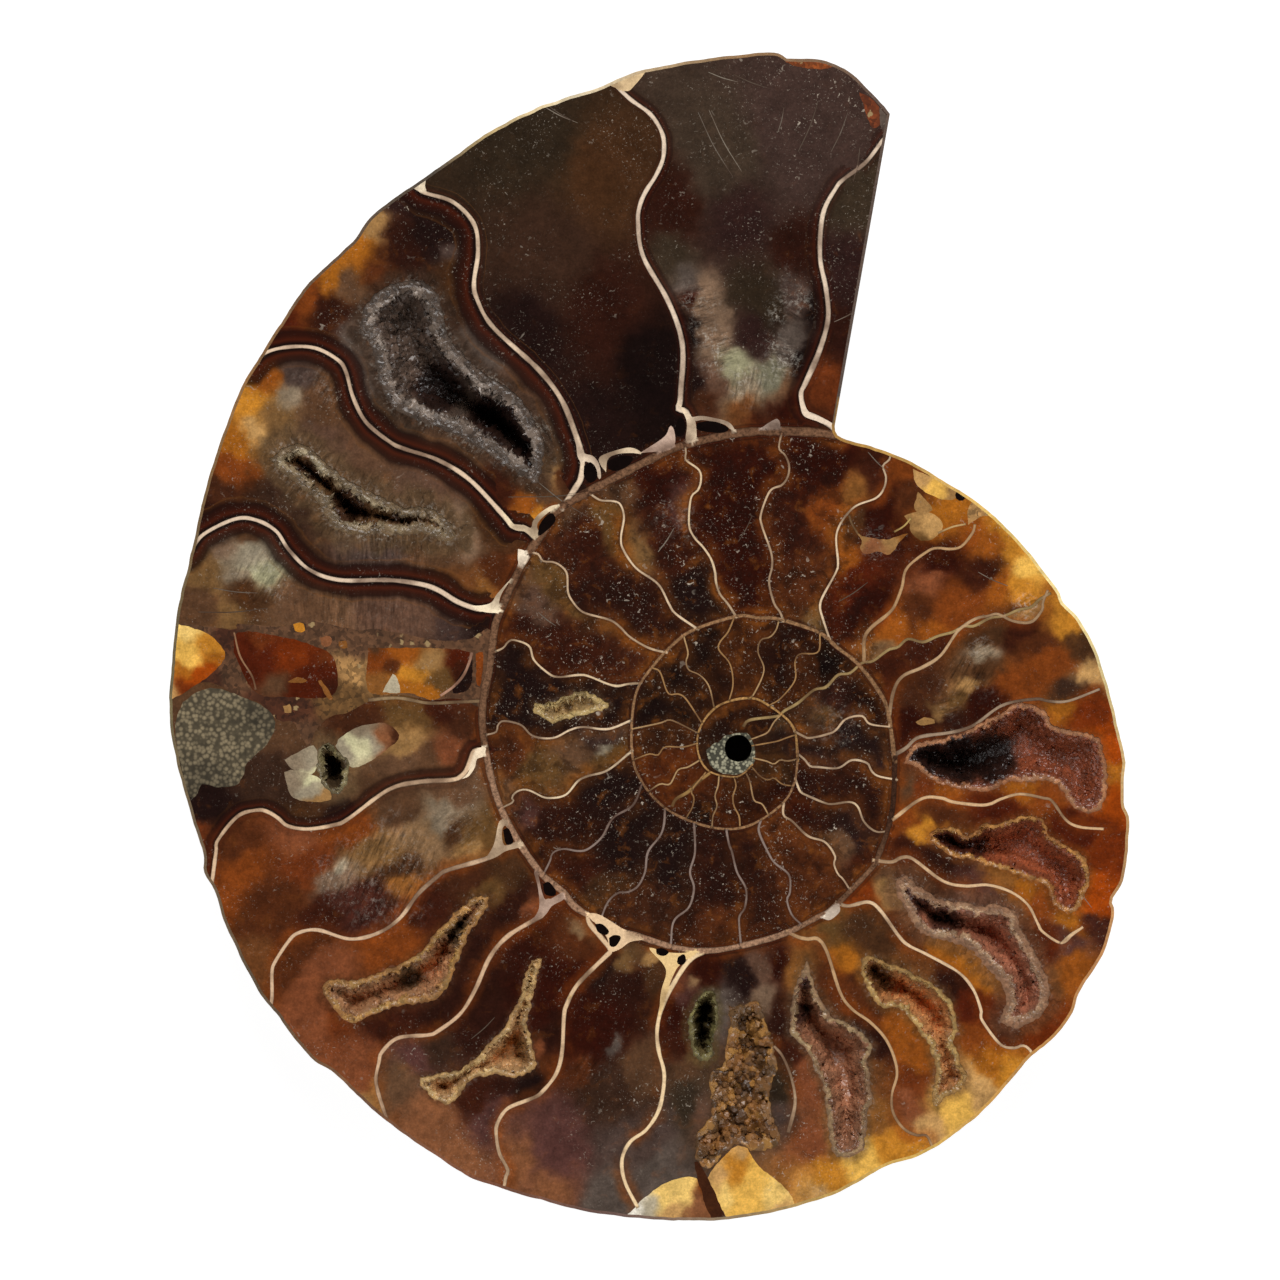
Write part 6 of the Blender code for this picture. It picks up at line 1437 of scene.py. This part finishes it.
def standingCrystals(granular):
    # Geometry Nodes: crystals, or angular granules, that stand on a crust where its "stand" value is high
    tree = bpy.data.node_groups.new("granules" if granular else "dogtoothCrystals", "GeometryNodeTree")
    tree.interface.new_socket("Geometry", in_out="OUTPUT", socket_type="NodeSocketGeometry")
    tree.interface.new_socket("Geometry", in_out="INPUT", socket_type="NodeSocketGeometry")
    for title, kind in (("Density", "Float"), ("Size", "Float"), ("Seed", "Int"), ("Material", "Material")):
        tree.interface.new_socket(title, in_out="INPUT", socket_type="NodeSocket" + kind)
    given = addNode(tree, "NodeGroupInput").outputs
    stand = addNode(tree, "GeometryNodeInputNamedAttribute", {"data_type": "FLOAT", "Name": "stand"})
    density = product(tree, stand.outputs[0], given["Density"])
    scattered = addNode(tree, "GeometryNodeDistributePointsOnFaces", None, {
        "Mesh": given["Geometry"], "Density": density, "Seed": given["Seed"]})
    if granular:
        shape = addNode(tree, "GeometryNodeMeshIcoSphere", {"Radius": 0.5, "Subdivisions": 1})
    else:
        shape = addNode(tree, "GeometryNodeMeshCone", {
            "fill_type": "NONE", "Vertices": 6, "Radius Top": 0.0, "Radius Bottom": 0.3, "Depth": 0.95})
    leaning = {"data_type": "FLOAT_VECTOR", 0: (-0.7, -0.7, -0.2), 1: (0.7, 0.7, 0.7)}
    lean = addNode(tree, "FunctionNodeRandomValue", leaning, {"Seed": given["Seed"]})
    way = addNode(tree, "ShaderNodeVectorMath", {"operation": "ADD"}, {
        0: scattered.outputs["Normal"], 1: lean.outputs[0]})
    turned = addNode(tree, "FunctionNodeAlignRotationToVector", {"axis": "Z"}, {"Vector": way.outputs[0]})
    growth = addNode(tree, "FunctionNodeRandomValue", {"data_type": "FLOAT", 2: 0.45, 3: 1.3})
    size = product(tree, growth.outputs[1], given["Size"])
    placed = addNode(tree, "GeometryNodeInstanceOnPoints", None, {
        "Points": scattered.outputs["Points"], "Instance": shape.outputs["Mesh"],
        "Rotation": turned.outputs["Rotation"], "Scale": size})
    flat = addNode(tree, "GeometryNodeSetShadeSmooth", {"Shade Smooth": False}, {
        "Geometry": placed.outputs[0]})
    joined = addNode(tree, "GeometryNodeJoinGeometry", None, {"Geometry": flat.outputs[0]})
    tree.links.new(given["Geometry"], joined.inputs["Geometry"])
    real = addNode(tree, "GeometryNodeRealizeInstances", None, {"Geometry": joined.outputs[0]})
    dressed = addNode(tree, "GeometryNodeSetMaterial", None, {
        "Geometry": real.outputs[0], "Material": given["Material"]})
    addNode(tree, "NodeGroupOutput", None, {"Geometry": dressed.outputs[0]})
    return tree


dogtooth, granules = standingCrystals(False), standingCrystals(True)
grainTints = ("b98a48", "7a5632", "49341f", "9a6c3a", "5c4428", "8a6844")
# Depths and heights of a crust in mm: step of its mesh, drop at the rim, how far the floor lies above the
# hollow's depth, thickness and the gap that is kept under the face
crustLook = {"step": 0.115, "rimDrop": 0.08, "floorRise": 1.55, "relief": 0.7, "brownRelief": 0.32,
             "thickness": 0.3, "faceGap": 0.03}


def grow(piece, tree, density, size, seed, material):
    # Sockets count from 2, after the two geometry sockets: density, size, seed and material
    modifier = piece.modifiers.new("standing", "NODES")
    modifier.node_group = tree
    for number, value in enumerate((density / mm ** 2, size * mm, seed, material)):
        modifier[f"Socket_{number + 2}"] = value
    shown = piece.evaluated_get(bpy.context.evaluated_depsgraph_get())
    grown = bpy.data.meshes.new_from_object(shown)
    piece.modifiers.clear()
    piece.data = grown
    top = (stone["faceHeight"] - 0.02) * mm
    for point in grown.vertices:
        point.co.z = min(point.co.z, top)


def crust(name, hollow, seed):
    outline = hollowRims[name]
    outline = outline if turning(outline) > 0 else outline[::-1]
    inner = lattice(outline.min(0), outline.max(0), crustLook["step"], 0.25, seed)
    inner = inner[isInside(inner, outline)]
    inner = inner[nearest(makeTree(outline), inner)[1] > 0.7 * crustLook["step"]]
    loop = [list(range(len(outline)))]
    made = delaunay_2d_cdt([Vector(p) for p in np.vstack([outline, inner])], [], loop, 1, 1e-5)
    flat = np.array([tuple(p) for p in made[0]])
    faces = np.array(made[2])
    corner = flat[faces]
    one, two = corner[:, 1] - corner[:, 0], corner[:, 2] - corner[:, 0]
    wrong = one[:, 0] * two[:, 1] < one[:, 1] * two[:, 0]
    faces[wrong] = faces[wrong][:, ::-1]
    rimTree = makeTree(evenSteps(np.vstack([outline, outline[:1]]), 0.1))
    reach = nearest(rimTree, flat)[1]
    depth = floorDepth(hollow, flat)
    level, owner, tips = crystalEnvelope(flat, hollow["crystal"], seed)
    level -= np.median(level)
    # Each crystal falls or stands as one, so the fringe ends in a ragged edge
    tipReach = nearest(rimTree, tips)[1] * np.where(isInside(tips, outline), 1, 0)
    crystalReach = 0.55 * tipReach[owner] + 0.45 * reach
    crest, crestWidth = hollow["crest"]
    wandering = crystalReach + 0.4 * cloud(flat, 1.6, seed)
    fall = smoothStep(crest, crest + crestWidth + hollow["slope"], wandering)
    face = stone["faceHeight"]
    relief = crustLook["brownRelief" if hollow["slot"] == "brown_druse" else "relief"]
    bumps = relief * level * smoothStep(0.0, 0.6, reach)
    height = face - crustLook["rimDrop"] - (depth - crustLook["floorRise"]) * fall + bumps
    height = np.minimum(height, face - crustLook["faceGap"])
    below = face - depth + crustLook["thickness"]
    height = np.maximum(height, below + crustLook["thickness"])
    count = len(flat)
    points = np.vstack([np.column_stack([flat, height]), np.column_stack([flat, below])])
    rimTone, crestTone, floorTone, paintedShadeTone = (hexTone(text) for text in hollow["colours"])
    # Painted shade: around each spot where shade falls in the hollow, the crust darkens towards the depth
    # colour
    shade = np.zeros(count)
    for x, y, radius in hollow["dark"]:
        away = np.hypot(flat[:, 0] - x, flat[:, 1] - y) / radius + 0.2 * cloud(flat, 1.4, seed + 3)
        shade = np.maximum(shade, 1 - smoothStep(0.5, 1.0, away))
    tone = floorTone + (paintedShadeTone - floorTone) * shade[:, None]
    patchy = 0.3 * cloud(flat, 1.1, seed + 5) + 0.4 * cloud(flat, 3.2, seed + 6)
    pale = 0.7 * tipReach[owner] + 0.3 * reach + crest * patchy
    edge = 1 - smoothStep(crest + 0.5 * crestWidth, crest + crestWidth, pale)
    tone = tone + (rimTone - tone) * edge[:, None]
    strength = np.clip(0.65 + 0.8 * cloud(flat, 2.6, seed + 7), 0.15, 1)
    line = edge * smoothStep(crest - crestWidth, crest, pale) * strength
    tone = tone + (crestTone - tone) * line[:, None]
    each = np.random.default_rng(seed).uniform(0.86, 1.12, len(tips))[owner]
    tone = np.clip(tone * each[:, None], 0, 1)
    granular = name == "crumbly_fill"
    if granular:
        kinds = np.array([hexTone(text) for text in grainTints])
        pick = np.random.default_rng(seed + 1).integers(0, len(kinds), len(tips))
        tone = 0.4 * tone + 0.6 * kinds[pick[owner]]
    # Painted light: the crust is made lighter the deeper it lies, outside the painted shade, to offset the
    # shade that falls in the depths
    lift = 1 + hollow["lift"] * (face - height) * (1 - shade)
    tone = np.column_stack([toLinear(tone) * lift[:, None], np.ones(count)])
    stand = (0.02 + 0.38 * edge + 0.6 * line) * smoothStep(0.15, 0.35, reach)
    if granular:
        stand = smoothStep(0.3, 0.6, reach)
    values = {"tone": np.vstack([tone, tone]), "stand": np.concatenate([stand, 0 * stand])}
    slab = slabFaces(faces, count)
    piece = newPiece(name + "Crystals", points, slab, finishes["druse"], values)
    if granular:
        grow(piece, granules, 1.6, 0.75, seed, finishes["druse"])
    else:
        grow(piece, dogtooth, 3.6, 0.8 * hollow["stand"], seed, finishes["druse"])
    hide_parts(name)
    return piece


for number, (name, hollow) in enumerate(hollows.items()):
    crust(name, hollow, firstSeed["crust"] + number)
print("crusts", len(hollows))


# Floor, light and camera
studio = {"at": (-0.9365, -0.318), "width": 128.0, "distance": 1000.0, "glow": 0.93, "lampSize": 0.7,
          "lampAway": 1.3, "world": (0.02, 0.02, 0.02, 1)}
softboxes = ((85, 46, 15.5), (190, 38, 4.5), (350, 38, 5.0), (270, 35, 2.6))  # direction, height, watts


def buildStage():
    bpy.ops.mesh.primitive_plane_add(size=4.0, location=(0, 0, 0))
    floor = bpy.context.object
    floor.name = "paleFloor"
    material = bpy.data.materials.new("litWhitePaper")
    material.use_nodes = True
    shader = material.node_tree.nodes["Principled BSDF"]
    shader.inputs["Base Color"].default_value = (0.2, 0.2, 0.2, 1)
    shader.inputs["Roughness"].default_value = 0.9
    shader.inputs["Emission Color"].default_value = (1, 1, 1, 1)
    shader.inputs["Emission Strength"].default_value = studio["glow"]
    floor.data.materials.append(material)
    for number, (direction, height, watts) in enumerate(softboxes):
        turn, lift = math.radians(direction), math.radians(height)
        lamp = bpy.data.lights.new(f"softbox{number}", "AREA")
        lamp.shape = "SQUARE"
        lamp.size = studio["lampSize"]
        lamp.energy = watts
        holder = bpy.data.objects.new(f"softbox{number}", lamp)
        bpy.context.scene.collection.objects.link(holder)
        spot = Vector((math.cos(turn) * math.cos(lift), math.sin(turn) * math.cos(lift), math.sin(lift)))
        spot *= studio["lampAway"]
        holder.location = spot
        holder.rotation_euler = (-spot).to_track_quat("-Z", "Y").to_euler()
    world = bpy.data.worlds.new("studio")
    bpy.context.scene.world = world
    world.use_nodes = True
    world.node_tree.nodes["Background"].inputs["Color"].default_value = studio["world"]
    camera = bpy.data.cameras.new("camera")
    camera.sensor_width = 36.0
    camera.lens = camera.sensor_width * studio["distance"] / studio["width"]
    camera.clip_end = 10.0
    holder = bpy.data.objects.new("camera", camera)
    bpy.context.scene.collection.objects.link(holder)
    x, y = studio["at"]
    holder.location = (x * mm, y * mm, (stone["faceHeight"] + studio["distance"]) * mm)
    bpy.context.scene.camera = holder
    bpy.context.scene.view_settings.view_transform = "Standard"


buildStage()
